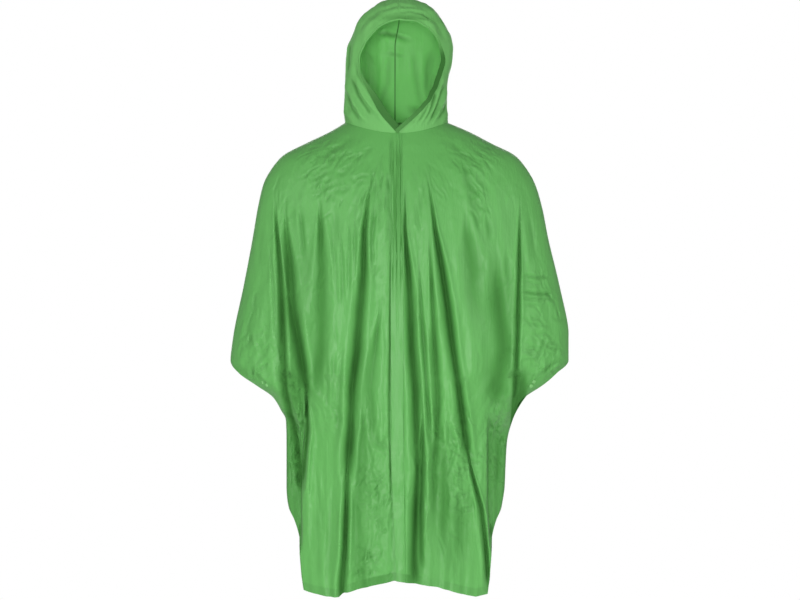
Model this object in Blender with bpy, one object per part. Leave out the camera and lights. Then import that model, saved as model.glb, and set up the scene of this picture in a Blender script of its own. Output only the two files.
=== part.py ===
"""Hooded rain poncho of thin plastic film, hanging as it does when it is worn, with the hood up.

Metres, +Z up. The wearer faces -Y, so the wearer's right is -X. The origin is the middle of the
neck, level with the corners where the hood meets the shoulders, which is where the wearer holds it.
The panels are walls lofted through level sections, and each fold has a line that the columns follow.
"""

from collections import namedtuple

import bmesh
import bpy
import numpy as np

WALL = 0.0018  # thickness of the cloth wall
HEM_WALL = 0.0012  # thickness of the turned hems and the placket
SEAM_GAP = 0.0003  # clear space between two pieces that are joined
LAP_GAP = 0.0005  # clear space between a panel and what lies flat on it
HALF_GAP_AT_HOOD_SEAM = 0.0003
PLAN_FLATNESS = 0.85  # under 1 makes the chest and back flatter than an ellipse
CROWN_OF_FOLDS = 0.007  # how far the cloth swells out between two neighbouring folds
UNDERLAP_DEPTH = 0.0034  # how far the right front dips to pass under the left front
UNDERLAP_START, UNDERLAP_FULL = -0.024, -0.0165
HEM_SHAPE_FROM = -0.60  # front height below which the hem's own shape starts to show
HOOD_HEM_ANGLE = np.radians(38)  # how far the hood's turned hem leans back from the face opening
STUD_RADIUS, STUD_HEIGHT, STUD_SIDES = 0.0045, 0.0018, 12

# Sections of the body, neck to hem. right and left are the half widths, mouth is how far the front
# and back stand apart from the side line at the open cuff, and rise sets how late the section climbs.
Section = namedtuple("Section", "side_z right left mouth front_z front_y back_z back_y rise")
BODY = (
    Section(0.021, 0.116, 0.105, 0, -0.008, 0.092, 0.030, 0.080, 2),  # neck
    Section(0.002, 0.148, 0.150, 0, -0.032, 0.103, 0.012, 0.096, 2),
    Section(-0.024, 0.202, 0.200, 0, -0.068, 0.115, -0.020, 0.110, 2),
    Section(-0.049, 0.249, 0.249, 0, -0.102, 0.125, -0.054, 0.121, 2),  # point of the shoulder
    Section(-0.075, 0.272, 0.272, 0, -0.134, 0.131, -0.086, 0.128, 2),
    Section(-0.110, 0.291, 0.292, 0, -0.170, 0.136, -0.122, 0.132, 2),
    Section(-0.160, 0.303, 0.306, 0, -0.216, 0.140, -0.172, 0.135, 2),
    Section(-0.230, 0.314, 0.320, 0, -0.280, 0.143, -0.240, 0.136, 2),  # chest
    Section(-0.330, 0.333, 0.344, 0, -0.366, 0.143, -0.340, 0.135, 2),
    Section(-0.430, 0.354, 0.362, 0, -0.452, 0.142, -0.440, 0.133, 2),
    Section(-0.488, 0.361, 0.362, 0, -0.506, 0.142, -0.500, 0.132, 2),  # top of the cuffs
    Section(-0.514, 0.340, 0.335, 0.045, -0.536, 0.142, -0.530, 0.132, 2),
    Section(-0.540, 0.301, 0.307, 0.060, -0.566, 0.141, -0.560, 0.131, 2),
    Section(-0.566, 0.266, 0.280, 0.052, -0.596, 0.141, -0.590, 0.131, 2),
    Section(-0.592, 0.252, 0.260, 0.034, -0.626, 0.141, -0.622, 0.131, 3),
    Section(-0.620, 0.243, 0.243, 0, -0.660, 0.141, -0.656, 0.130, 3),  # foot of the cuffs
    Section(-0.665, 0.241, 0.231, 0, -0.720, 0.142, -0.720, 0.131, 4),
    Section(-0.715, 0.241, 0.228, 0, -0.795, 0.143, -0.800, 0.132, 6),
    Section(-0.760, 0.242, 0.226, 0, -0.866, 0.145, -0.868, 0.133, 9),
    Section(-0.789, 0.240, 0.223, 0, -0.923, 0.146, -0.932, 0.134, 12),  # top of the turned hem
    Section(-0.805, 0.237, 0.220, 0, -0.940, 0.147, -0.950, 0.134, 12),  # hem
)
CUFF_TOP, CUFF_FOOT = 10, 15
HEM_TOP, HEM = len(BODY) - 2, len(BODY) - 1

# How far the front hem hangs below its middle, across the front from right to left.
HEM_DROP = ((-0.24, 0.010), (-0.20, 0.018), (-0.15, 0.025), (-0.112, 0.028), (-0.06, 0.010),
            (-0.01, 0.0), (0.08, 0.012), (0.13, 0.028), (0.16, 0.036), (0.19, 0.034), (0.22, 0.020))
# How far the hem has climbed to its height at the side line, by its share of the half width.
HEM_CLIMB = ((0, 0), (0.868, 0), (0.90, 0.62), (0.95, 0.85), (1, 1))

# A fold is a trough along its path of (x, z) points. It grows to its full depth over grow, fades
# over fade before its foot, and is width wide on each side of its line.
Fold = namedtuple("Fold", "path depth width grow fade")
FRONT_RIGHT = (
    Fold(((-0.019, -0.03), (-0.018, -0.40), (-0.027, -0.60), (-0.017, -0.94)), 0.005, 0.006, 0.05, 0),
    Fold(((-0.044, -0.06), (-0.071, -0.14), (-0.079, -0.30), (-0.098, -0.48), (-0.105, -0.60),
          (-0.113, -0.80), (-0.120, -0.94)), 0.022, 0.009, 0.14, 0),
    Fold(((-0.168, -0.14), (-0.160, -0.30), (-0.162, -0.38), (-0.175, -0.50), (-0.180, -0.62)),
         0.010, 0.016, 0.08, 0.14),
    Fold(((-0.243, -0.17), (-0.230, -0.35), (-0.204, -0.52), (-0.194, -0.61), (-0.204, -0.70),
          (-0.211, -0.80)), 0.028, 0.011, 0.10, 0.12),
    Fold(((-0.266, -0.15), (-0.258, -0.35), (-0.246, -0.54), (-0.234, -0.63), (-0.226, -0.72)),
         0.032, 0.010, 0.07, 0.10),
)
FRONT_LEFT = (
    Fold(((0.012, -0.01), (0.012, -0.94)), 0.0, 0.006, 0.05, 0),  # edge of the placket
    Fold(((0.015, -0.18), (0.020, -0.27), (0.029, -0.40), (0.037, -0.54), (0.035, -0.66),
          (0.038, -0.74), (0.029, -0.94)), 0.019, 0.010, 0.07, 0),
    Fold(((0.060, -0.24), (0.069, -0.42), (0.080, -0.56), (0.076, -0.68), (0.074, -0.84)),
         0.012, 0.010, 0.12, 0.12),
    Fold(((0.066, -0.11), (0.080, -0.22), (0.096, -0.35), (0.122, -0.53), (0.141, -0.66),
          (0.168, -0.79), (0.182, -0.93)), 0.026, 0.010, 0.14, 0),
    Fold(((0.145, -0.20), (0.155, -0.34), (0.170, -0.47), (0.180, -0.60), (0.184, -0.72)),
         0.010, 0.016, 0.08, 0.16),
    Fold(((0.262, -0.16), (0.254, -0.28), (0.247, -0.42), (0.246, -0.57), (0.236, -0.64),
          (0.215, -0.74)), 0.034, 0.012, 0.08, 0.10),
)
BACK_RIGHT = (
    Fold(((-0.030, -0.16), (-0.044, -0.45), (-0.066, -0.96)), 0.018, 0.012, 0.16, 0),
    Fold(((-0.102, -0.12), (-0.122, -0.45), (-0.148, -0.95)), 0.022, 0.012, 0.14, 0),
    Fold(((-0.176, -0.20), (-0.186, -0.50), (-0.204, -0.86)), 0.016, 0.014, 0.12, 0.16),
    Fold(((-0.264, -0.15), (-0.256, -0.38), (-0.240, -0.60), (-0.228, -0.72)), 0.028, 0.012, 0.08, 0.10),
)
BACK_LEFT = (
    Fold(((0.040, -0.20), (0.052, -0.50), (0.060, -0.96)), 0.014, 0.014, 0.20, 0),
    Fold(((0.090, -0.10), (0.112, -0.45), (0.140, -0.95)), 0.024, 0.011, 0.15, 0),
    Fold(((0.170, -0.22), (0.180, -0.52), (0.190, -0.84)), 0.013, 0.016, 0.12, 0.18),
    Fold(((0.262, -0.15), (0.253, -0.38), (0.242, -0.60), (0.216, -0.72)), 0.030, 0.011, 0.08, 0.10),
)
# Where a half panel starts at the middle, how many spans stay flat there, its folds, and how many
# columns lie before each fold and before the side line.
Half = namedtuple("Half", "face side edge_x flat folds columns")
HALVES = {
    "front_right": Half("front", -1, 0.008, 0, FRONT_RIGHT, (1, 4, 4, 3, 2, 4)),
    "front_left": Half("front", 1, -0.0135, 1, FRONT_LEFT, (1, 2, 3, 3, 3, 3, 4)),
    "back_right": Half("back", -1, 0.0, -1, BACK_RIGHT, (3, 4, 3, 2, 4)),
    "back_left": Half("back", 1, 0.0, -1, BACK_LEFT, (3, 4, 3, 2, 4)),
}
LEAST_COLUMN = 0.015  # radians between two fold lines where a section is narrow

# Sections of the hood, neck to crown. rim_right and rim_left are where the face opening's edge is.
HoodSection = namedtuple("HoodSection", "z neck_share right left front_y back_y rim_right rim_left")
HOOD = (
    HoodSection(0.0216, 1.00, 0.116, 0.105, 0.092, 0.080, -0.0045, -0.0035),
    HoodSection(0.036, 0.45, 0.117, 0.105, 0.094, 0.090, -0.033, 0.033),
    HoodSection(0.060, 0.18, 0.116, 0.102, 0.096, 0.100, -0.055, 0.062),
    HoodSection(0.090, 0.00, 0.115, 0.102, 0.098, 0.110, -0.073, 0.083),
    HoodSection(0.120, 0.00, 0.114, 0.106, 0.099, 0.118, -0.086, 0.093),
    HoodSection(0.150, 0.00, 0.1135, 0.1125, 0.100, 0.122, -0.088, 0.099),
    HoodSection(0.180, 0.00, 0.112, 0.115, 0.100, 0.122, -0.075, 0.090),
    HoodSection(0.205, 0.00, 0.102, 0.110, 0.099, 0.116, -0.056, 0.072),
    HoodSection(0.220, 0.00, 0.095, 0.103, 0.097, 0.110, -0.037, 0.054),
    HoodSection(0.229, 0.00, 0.0905, 0.098, 0.096, 0.105, -0.017, 0.036),
    HoodSection(0.233, 0.00, 0.088, 0.0955, 0.0955, 0.102, 0.0, 0.0),  # top of the face opening
    HoodSection(0.250, 0.00, 0.073, 0.083, 0.088, 0.090, 0.0, 0.0),
    HoodSection(0.265, 0.00, 0.056, 0.066, 0.074, 0.074, 0.0, 0.0),
    HoodSection(0.277, 0.00, 0.041, 0.048, 0.056, 0.058, 0.0, 0.0),
    HoodSection(0.283, 0.00, 0.033, 0.036, 0.040, 0.044, 0.0, 0.0),
    HoodSection(0.286, 0.00, 0.0002, 0.0002, 0.030, 0.034, 0.0, 0.0),  # seam over the crown
)
RIM_TOP = 10
HOOD_COLUMNS = 12
HOOD_HEM_WIDTH = {-1: (0.022, 0.012), 1: (0.012, 0.010)}  # width at the throat and over the brow
STUD_PLACES = {"right": ((-0.286, -0.531), (-0.274, -0.535)), "left": ((0.264, -0.531), (0.278, -0.528))}

FILM = {"colour": (0.125, 0.375, 0.102, 1), "roughness": 0.42}
TURNED_FILM = {"colour": (0.085, 0.285, 0.072, 1), "roughness": 0.45}
STUD_PLASTIC = {"colour": (0.20, 0.50, 0.16, 1), "roughness": 0.3}


def start_clean():
    for thing in list(bpy.data.objects):
        bpy.data.objects.remove(thing, do_unlink=True)
    poncho = bpy.data.collections.new("rain_poncho")
    bpy.context.scene.collection.children.link(poncho)
    return poncho


def plain_material(name, colour, roughness):
    material = bpy.data.materials.new(name)
    material.use_nodes = True
    shader = material.node_tree.nodes["Principled BSDF"]
    shader.inputs["Base Color"].default_value = colour
    shader.inputs["Roughness"].default_value = roughness
    shader.inputs["Metallic"].default_value = 0.0
    return material


def column(table, name):
    return np.array([getattr(row, name) for row in table], float)


def at(table, name, row):
    """The value of a column of a table at fractional row numbers."""
    return np.interp(row, np.arange(len(table)), column(table, name))


def section_side(row, face, side):
    """Half width, depth, middle height and the angle of the side line of body sections."""
    half = at(BODY, "right" if side < 0 else "left", row)
    depth = at(BODY, face + "_y", row)
    middle = at(BODY, face + "_z", row)
    last_angle = np.arccos(at(BODY, "mouth", row) / depth)
    return half, depth, middle, last_angle


def base_point(face, side, angle, row):
    """A point of the body without its folds. The angle runs from the middle to the side line."""
    half, depth, middle, last_angle = section_side(row, face, side)
    share = np.sin(angle) / np.sin(last_angle)
    x = side * half * share
    facing = -1 if face == "front" else 1
    y = facing * (depth * np.abs(np.cos(angle)) ** PLAN_FLATNESS + SEAM_GAP / 2)
    shown = np.clip((middle - HEM_SHAPE_FROM) / (BODY[HEM_TOP].front_z - HEM_SHAPE_FROM), 0, 1)
    climb = np.clip(share, 0, 1) ** at(BODY, "rise", row) * (1 - shown)
    climb = climb + shown * np.interp(share, *np.array(HEM_CLIMB).T)
    z = middle + (at(BODY, "side_z", row) - middle) * climb
    if face == "front":
        z = z - np.interp(x, *np.array(HEM_DROP).T) * shown * (1 - climb)
    return np.stack([x, y, z], axis=-1)


def outward(point_at, angle, row, last_angle, last_row, turn):
    """Unit vectors that point out of a surface, from small steps along its angle and its rows."""
    step = 1e-3
    a0, a1 = angle - step, np.minimum(angle + step, last_angle - 1e-5)
    r0, r1 = np.maximum(row - step, 0), np.minimum(row + step, last_row)
    across = point_at(np.maximum(a1, a0 + 1e-5), row) - point_at(a0, row)
    down = point_at(np.minimum(angle, last_angle - 1e-4), r1) - point_at(
        np.minimum(angle, last_angle - 1e-4), r0
    )
    out = turn * np.cross(across, down)
    return out / np.linalg.norm(out, axis=-1, keepdims=True)


def fold_lines(half_panel, row):
    """The angles of the half panel's edge, its fold lines and its side line, in that order."""
    half, _, middle, last_angle = section_side(row, half_panel.face, half_panel.side)
    side = half_panel.side
    lines = [np.arcsin(side * half_panel.edge_x / half * np.sin(last_angle))]
    for fold in half_panel.folds:
        x, z = np.array(fold.path).T
        at_end = [np.interp(end, -column(BODY, half_panel.face + "_z"), np.arange(len(BODY)))
                  for end in (-z[0], -z[-1])]
        held = np.clip(row, *at_end)  # past its ends a fold line keeps its share of the width
        held_half, _, held_middle, _ = section_side(held, half_panel.face, side)
        share = side * np.interp(-held_middle, -z, x) / held_half
        lines.append(np.arcsin(np.clip(share, 0, 0.99) * np.sin(last_angle)))
    lines.append(last_angle)
    for i in range(1, len(lines) - 1):
        lines[i] = np.maximum(lines[i], lines[i - 1] + LEAST_COLUMN)
    for i in range(len(lines) - 2, 1, -1):
        lines[i] = np.minimum(lines[i], lines[i + 1] - LEAST_COLUMN)
    return np.array(lines)


def fold_strength(fold, z):
    top, foot = fold.path[0][1], fold.path[-1][1]
    grown = np.clip((top - z) / fold.grow, 0, 1)
    left = np.clip((z - foot) / fold.fade, 0, 1) if fold.fade else np.ones_like(z)
    return grown * grown * (3 - 2 * grown) * left * left * (3 - 2 * left)


def body_surface(half_panel, place, row):
    """Points and outward vectors of a half panel. A whole number of place is a fold line."""
    side, face = half_panel.side, half_panel.face
    lines = fold_lines(half_panel, row)
    span = np.minimum(np.floor(place).astype(int), len(lines) - 2)
    share = place - span
    pick = np.arange(len(place))
    angle = lines[span, pick] * (1 - share) + lines[span + 1, pick] * share
    half, _, middle, last_angle = section_side(row, face, side)
    points = base_point(face, side, angle, row)
    turn = side * (-1 if face == "front" else 1)
    out = outward(lambda a, r: base_point(face, side, a, r), angle, row, last_angle, HEM, turn)
    width = np.abs(lines[span + 1, pick] - lines[span, pick]) * half
    swell = np.clip((-0.05 - points[:, 2]) / 0.25, 0, 1) * np.clip(width / 0.05, 0, 1)
    move = CROWN_OF_FOLDS * swell * 4 * share * (1 - share) * (span < len(lines) - 2)
    for line, fold in zip(lines[1:], half_panel.folds):
        fold_x = side * half * np.sin(line) / np.sin(last_angle)
        away = np.abs(points[:, 0] - fold_x) / fold.width
        move -= (place > half_panel.flat) * fold.depth * fold_strength(fold, middle) * np.exp(-(away**1.6))
    if face == "front" and side < 0:
        under = (points[:, 0] - UNDERLAP_START) / (UNDERLAP_FULL - UNDERLAP_START)
        move -= UNDERLAP_DEPTH * np.clip(under, 0, 1)
    return points + out * move[:, None], out


def neck_height(angle):
    """Height of the neck seam, by the angle from the middle of the front to the middle of the back."""
    neck = BODY[0]
    middle = np.where(angle < np.pi / 2, neck.front_z, neck.back_z)
    return middle + (neck.side_z - middle) * np.sin(angle) ** neck.rise


def hood_shell(side, angle, row):
    half = at(HOOD, "right" if side < 0 else "left", row)
    depth = np.where(angle < np.pi / 2, -at(HOOD, "front_y", row), at(HOOD, "back_y", row))
    x = side * (half * np.sin(angle) + HALF_GAP_AT_HOOD_SEAM)
    y = depth * np.abs(np.cos(angle)) ** PLAN_FLATNESS
    z = at(HOOD, "z", row) + at(HOOD, "neck_share", row) * (neck_height(angle) - BODY[0].side_z)
    return np.stack([x, y, z], axis=-1)


def rim_angle(side, row):
    rim_x = at(HOOD, "rim_right" if side < 0 else "rim_left", row)
    half = at(HOOD, "right" if side < 0 else "left", row)
    return np.where(row >= RIM_TOP, 0.0, np.arcsin(np.clip(side * rim_x / half, -1, 1)))


def hood_surface(side, share, row):
    """Points and outward vectors of half a hood. share runs from the rim to the seam at the back."""
    first = rim_angle(side, row)
    angle = first + (np.pi - first) * share
    last_row = len(HOOD) - 1
    out = outward(lambda a, r: hood_shell(side, a, r), angle, row, np.full_like(row, np.pi), last_row, side)
    on_seam = (share > 0.9999) | (row > last_row - 0.01) | ((share < 0.0001) & (row >= RIM_TOP))
    out[on_seam, 0] = 0  # both halves keep the same gap through the whole wall
    return hood_shell(side, angle, row), out / np.linalg.norm(out, axis=1, keepdims=True)


def wall_from_grid(name, across, along, surface, lift, wall, material, collection):
    """A closed wall: a grid, extruded, with one side on the surface plus lift and one a wall below it."""
    mesh = bmesh.new()
    bmesh.ops.create_grid(mesh, x_segments=len(across) - 1, y_segments=len(along) - 1, size=0.5)
    bmesh.ops.triangulate(mesh, faces=mesh.faces[:], quad_method="FIXED")
    grid = list(mesh.verts)
    made = bmesh.ops.extrude_face_region(mesh, geom=mesh.faces[:], use_keep_orig=True)
    inner = [item for item in made["geom"] if isinstance(item, bmesh.types.BMVert)]
    for vertices, depth in ((grid, lift), (inner, lift - wall)):
        spot = np.array([vertex.co for vertex in vertices]) + 0.5
        place = np.asarray(across)[np.rint(spot[:, 0] * (len(across) - 1)).astype(int)]
        row = np.asarray(along)[np.rint(spot[:, 1] * (len(along) - 1)).astype(int)]
        points, out = surface(place.astype(float), row.astype(float))
        for vertex, point in zip(vertices, points + out * depth):
            vertex.co = point
    return finish(name, mesh, material, collection)


def finish(name, mesh, material, collection):
    bmesh.ops.recalc_face_normals(mesh, faces=mesh.faces[:])
    if mesh.calc_volume(signed=True) < 0:
        bmesh.ops.reverse_faces(mesh, faces=mesh.faces[:])
    data = bpy.data.meshes.new(name)
    mesh.to_mesh(data)
    mesh.free()
    data.shade_smooth()
    data.materials.append(material)
    thing = bpy.data.objects.new(name, data)
    collection.objects.link(thing)
    return thing


def places(half_panel):
    """The columns of a half panel, from its middle to its side: spans are cut as columns says."""
    cuts = [i + j / count for i, count in enumerate(half_panel.columns) for j in range(count)]
    return cuts + [len(half_panel.columns)]


def panel_surface(name):
    if name != "back":
        return lambda place, row: body_surface(HALVES[name], place, row)

    def whole_back(place, row):
        right, left = (body_surface(HALVES["back_" + side], np.abs(place), row) for side in ("right", "left"))
        on_right = (place < 0)[:, None]
        return tuple(np.where(on_right, a, b) for a, b in zip(right, left))

    return whole_back


def panel_places(name):
    if name != "back":
        return places(HALVES[name])
    right, left = places(HALVES["back_right"]), places(HALVES["back_left"])
    return [-place for place in reversed(right[1:])] + left


def make_panels(film, collection):
    for name in ("front_right", "front_left", "back"):
        rows = range(len(BODY))
        wall_from_grid(name, panel_places(name), rows, panel_surface(name), 0.0, WALL, film, collection)


def make_bottom_hems(turned, collection):
    """The hem turned up inside each panel, as high as the last section."""
    for name in ("front_right", "front_left", "back"):
        lift = -WALL - LAP_GAP
        across = panel_places(name)
        if name != "back":
            across = across[2:]  # the hem stops short of the overlap at the middle
        wall_from_grid("hem_" + name, across[:-1] if name != "back" else across[1:-1],
                       (HEM_TOP, HEM), panel_surface(name), lift, HEM_WALL, turned, collection)


def make_cuff_hems(turned, collection):
    """The hem turned in along the front and back edge of each cuff, two columns wide."""
    rows = range(CUFF_TOP + 1, CUFF_FOOT)
    outer, first = slice(-3, None), slice(None, 3)
    cuffs = (("front_right", "front_right", outer), ("front_left", "front_left", outer),
             ("back_right", "back", first), ("back_left", "back", outer))
    for name, panel, columns in cuffs:
        wall_from_grid("cuff_hem_" + name, panel_places(panel)[columns], rows, panel_surface(panel),
                       -WALL - LAP_GAP, HEM_WALL, turned, collection)


def make_placket(film, collection):
    """The strip that covers the opening, on the edge of the left front from the neck to the hem."""
    across = places(HALVES["front_left"])[:2]
    wall_from_grid("placket", across, range(len(BODY)), panel_surface("front_left"),
                   LAP_GAP + HEM_WALL, HEM_WALL, film, collection)


def make_hood(film, collection):
    for name, side in (("hood_right", -1), ("hood_left", 1)):
        share = np.linspace(0, 1, HOOD_COLUMNS + 1)

        def surface(share, row, side=side):
            return hood_surface(side, share, row)

        wall_from_grid(name, share, range(len(HOOD)), surface, 0.0, WALL, film, collection)


def rim_point(side, row):
    """A point of the face opening's edge, straight between two sections, and its outward vector."""
    low = np.minimum(np.floor(row), RIM_TOP - 1)
    start, start_out = hood_surface(side, np.zeros_like(row), low)
    end, end_out = hood_surface(side, np.zeros_like(row), low + 1)
    share = (row - low)[:, None]
    out = start_out * (1 - share) + end_out * share
    return start * (1 - share) + end * share, out / np.linalg.norm(out, axis=1, keepdims=True)


def hood_hem_surface(side, across, row):
    """The turned hem of the face opening: it leaves the rim towards the opening and leans back."""
    rim, out = rim_point(side, row)
    along = rim_point(side, np.minimum(row + 0.5, RIM_TOP))[0] - rim_point(side, np.maximum(row - 0.5, 0))[0]
    along[:, 1] = 0
    along /= np.linalg.norm(along, axis=1, keepdims=True)
    inwards = np.stack([-side * along[:, 2], 0 * row, side * along[:, 0]], axis=1)
    back = np.array([0, 1.0, 0])
    across_way = np.cos(HOOD_HEM_ANGLE) * inwards + np.sin(HOOD_HEM_ANGLE) * back
    throat, brow = HOOD_HEM_WIDTH[side]
    width = throat + (brow - throat) * row / RIM_TOP
    reach = LAP_GAP * 2 + across * width
    points = rim - out * (WALL + LAP_GAP + HEM_WALL / 2) + across_way * reach[:, None]
    face = np.cross(along, across_way) * side
    return points, face / np.linalg.norm(face, axis=1, keepdims=True)


def make_hood_hems(turned, collection):
    rows = np.concatenate([np.arange(0.6, RIM_TOP - 0.9), [RIM_TOP - 0.9, RIM_TOP - 0.25]])
    for name, side in (("hood_hem_right", -1), ("hood_hem_left", 1)):

        def surface(across, row, side=side):
            return hood_hem_surface(side, across, row)

        wall_from_grid(name, (0.0, 1.0), rows, surface, HEM_WALL / 2, HEM_WALL, turned, collection)


def nearest_spot(half_panel, x, z):
    """Point and outward vector of the front cuff nearest to a given x and z."""
    place, row = np.meshgrid(np.linspace(len(half_panel.folds) + 0.4, len(half_panel.folds) + 1, 60),
                             np.linspace(CUFF_TOP, CUFF_FOOT, 100))
    points, out = body_surface(half_panel, place.ravel(), row.ravel())
    best = np.argmin((points[:, 0] - x) ** 2 + (points[:, 2] - z) ** 2)
    return points[best], out[best]


def make_studs(plastic, collection):
    """Press studs that close each cuff, two side by side on the front."""
    clear = LAP_GAP * 3
    for side_name, spots in STUD_PLACES.items():
        for number, (x, z) in enumerate(spots, 1):
            point, out = nearest_spot(HALVES["front_" + side_name], x, z)
            mesh = bmesh.new()
            bmesh.ops.create_cone(mesh, cap_ends=True, segments=STUD_SIDES, radius1=STUD_RADIUS,
                                  radius2=STUD_RADIUS * 0.7, depth=STUD_HEIGHT)
            stud = finish(f"stud_{side_name}_{number}", mesh, plastic, collection)
            axis = stud.matrix_world.to_quaternion().to_matrix().col[2].copy()
            axis[:] = out
            stud.rotation_mode = "QUATERNION"
            stud.rotation_quaternion = axis.to_track_quat("Z", "Y")
            stud.location = point + out * (clear + STUD_HEIGHT / 2)


def main():
    collection = start_clean()
    film = plain_material("film", **FILM)
    turned = plain_material("turned_film", **TURNED_FILM)
    plastic = plain_material("stud_plastic", **STUD_PLASTIC)
    make_panels(film, collection)
    make_bottom_hems(turned, collection)
    make_cuff_hems(turned, collection)
    make_placket(film, collection)
    make_hood(film, collection)
    make_hood_hems(turned, collection)
    make_studs(plastic, collection)


main()
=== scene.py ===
import math

import bmesh
import bpy
import numpy as np
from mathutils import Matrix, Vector


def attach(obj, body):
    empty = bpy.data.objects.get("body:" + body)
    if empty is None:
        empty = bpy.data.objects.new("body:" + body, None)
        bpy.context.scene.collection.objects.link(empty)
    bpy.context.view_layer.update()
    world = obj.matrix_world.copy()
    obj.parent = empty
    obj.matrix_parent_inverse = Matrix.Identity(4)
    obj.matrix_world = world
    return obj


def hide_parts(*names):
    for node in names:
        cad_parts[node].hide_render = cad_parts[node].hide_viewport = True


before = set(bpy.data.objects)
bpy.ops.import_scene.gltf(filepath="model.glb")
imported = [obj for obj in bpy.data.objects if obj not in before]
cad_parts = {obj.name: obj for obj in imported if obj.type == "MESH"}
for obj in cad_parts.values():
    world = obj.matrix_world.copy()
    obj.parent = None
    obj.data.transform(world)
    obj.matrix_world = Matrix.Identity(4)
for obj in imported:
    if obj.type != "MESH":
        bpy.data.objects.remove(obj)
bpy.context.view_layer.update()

filmGauge = 0.0007  # thickness the film is shown with, metres
seamGap = 0.0003
planFlatness = 0.85  # under 1 makes the chest and back flatter than an ellipse
planRatio = 0.40  # depth over half width, for spacing the columns evenly round the body
coarse = 1.0


def smoothLine(values, at):  # a curve through evenly numbered values that never swings past them
    step = np.diff(values)
    slope = np.zeros(len(values))
    slope[0], slope[-1] = step[0], step[-1]
    rising = step[1:] * step[:-1] > 0
    safe = np.where(rising, step[1:] + step[:-1], 1)
    slope[1:-1] = np.where(rising, 2 * step[1:] * step[:-1] / safe, 0)
    low = np.clip(np.floor(at).astype(int), 0, len(values) - 2)
    t = np.clip(at, 0, len(values) - 1) - low
    start, end = np.asarray(values)[low], np.asarray(values)[low + 1]
    return (start * (1 + 2 * t) * (1 - t) ** 2 + slope[low] * t * (1 - t) ** 2
            + end * t * t * (3 - 2 * t) - slope[low + 1] * t * t * (1 - t))


def sectionValue(table, name, row):
    column = table["columns"].index(name)
    return smoothLine(np.array([section[column] for section in table["sections"]], float), row)


def halfWidth(table, side, row):  # side is -1 on the wearer's right and 1 on the left
    return sectionValue(table, "right" if side < 0 else "left", row)


def readAlong(pairs, at):  # reads a table of (place, value) pairs
    return np.interp(at, *np.array(pairs).T)


def readDown(table, z, column=1):  # reads a table that starts with heights, the highest first
    table = np.array(table)
    return np.interp(-z, -table[:, 0], table[:, column])


def ease(value):  # from 0 to 1 with a soft start and a soft end
    value = np.clip(value, 0, 1)
    return value * value * (3 - 2 * value)


def hump(value, middle, reach):  # 1 at the middle, dying out on both sides
    return np.exp(-(((value - middle) / reach) ** 2))


def patch(x, z, cx, cz, rx, rz):  # the same in two directions
    return np.exp(-(((x - cx) / rx) ** 2) - ((z - cz) / rz) ** 2)


lattices = {}


# Smooth noise from -1 to 1 over a grid of seeded numbers. A place divided by a length, in metres, gives
# waves about that long.
def softNoise(u, v, seed):
    if seed not in lattices:
        lattices[seed] = np.random.RandomState(seed).uniform(-1, 1, (64, 64))
    grid = lattices[seed]
    iu, iv = np.floor(u).astype(int), np.floor(v).astype(int)
    fu, fv = ease(u - iu), ease(v - iv)
    low = grid[iu % 64, iv % 64] * (1 - fu) + grid[(iu + 1) % 64, iv % 64] * fu
    high = grid[iu % 64, (iv + 1) % 64] * (1 - fu) + grid[(iu + 1) % 64, (iv + 1) % 64] * fu
    return low * (1 - fv) + high * fv


# A fold is a trough along a path of (x, z) points. In every table of folds, a row holds its path, its
# depth, its reach to the right and to the left of the path, the lengths over which it grows and
# fades, and the height of the crown that it pushes up beside it.
foldShape = {
    "near": 3.6,  # how many widths from its path a fold is worked out
    "sink": 0.74,  # share of its depth that the trough really takes
    "steepness": 1.9,
    "crownAt": 2.3,
    "crownWidth": 0.9,
    "wander": 0.07,
    "unevenWidth": 0.18,
    "unevenDepth": 0.22,
    "longFold": 0.2,  # past this length, a fold is pinched at its top and opens on its way down
    "pinch": 0.14,
    "pinchedPart": 0.48,
    "darkDepth": 0.0145,  # a fold this deep gets painted shade as dark as film that lies double
    "darkest": 1.5,
    "shortTone": 1.7,  # short and placed creases get this much more painted shade than their depth gives
    "creaseTone": 2,
}
shortCrease = {  # how far each one strays from what its zone says, as shares of it
    "scatter": 0.7,
    "bend": 0.5,
    "length": (0.5, 1.5),
    "depth": (0.6, 1.5),
    "width": (0.0014, 0.0030),  # in metres
    "lopsided": (0.8, 2.0),
    "fade": 0.45,
    "crown": 0.35,
}


def shortCreases(zones, seed):  # a table of seeded short creases, laid out zone by zone
    draw = np.random.RandomState(seed)
    scatter = shortCrease["scatter"]
    rows = []
    for cx, cz, rx, rz, lean, spread, count, usual, depth in zones:
        for _ in range(count):
            x, z = cx + rx * draw.normal(0, scatter), cz + rz * draw.normal(0, scatter)
            turn, bend = lean + spread * draw.normal(), shortCrease["bend"] * draw.normal()
            length = usual * draw.uniform(*shortCrease["length"])
            path = []
            for step in (-0.5, -0.17, 0.17, 0.5):
                heading = turn + bend * step
                path.append((x + length * step * math.cos(heading), z + length * step * math.sin(heading)))
            width = draw.uniform(*shortCrease["width"])
            deep = depth * draw.uniform(*shortCrease["depth"])
            wider = width * draw.uniform(*shortCrease["lopsided"])
            fade = shortCrease["fade"] * length
            rows.append((path, deep, width, wider, fade, fade, shortCrease["crown"] * deep))
    return rows


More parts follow.
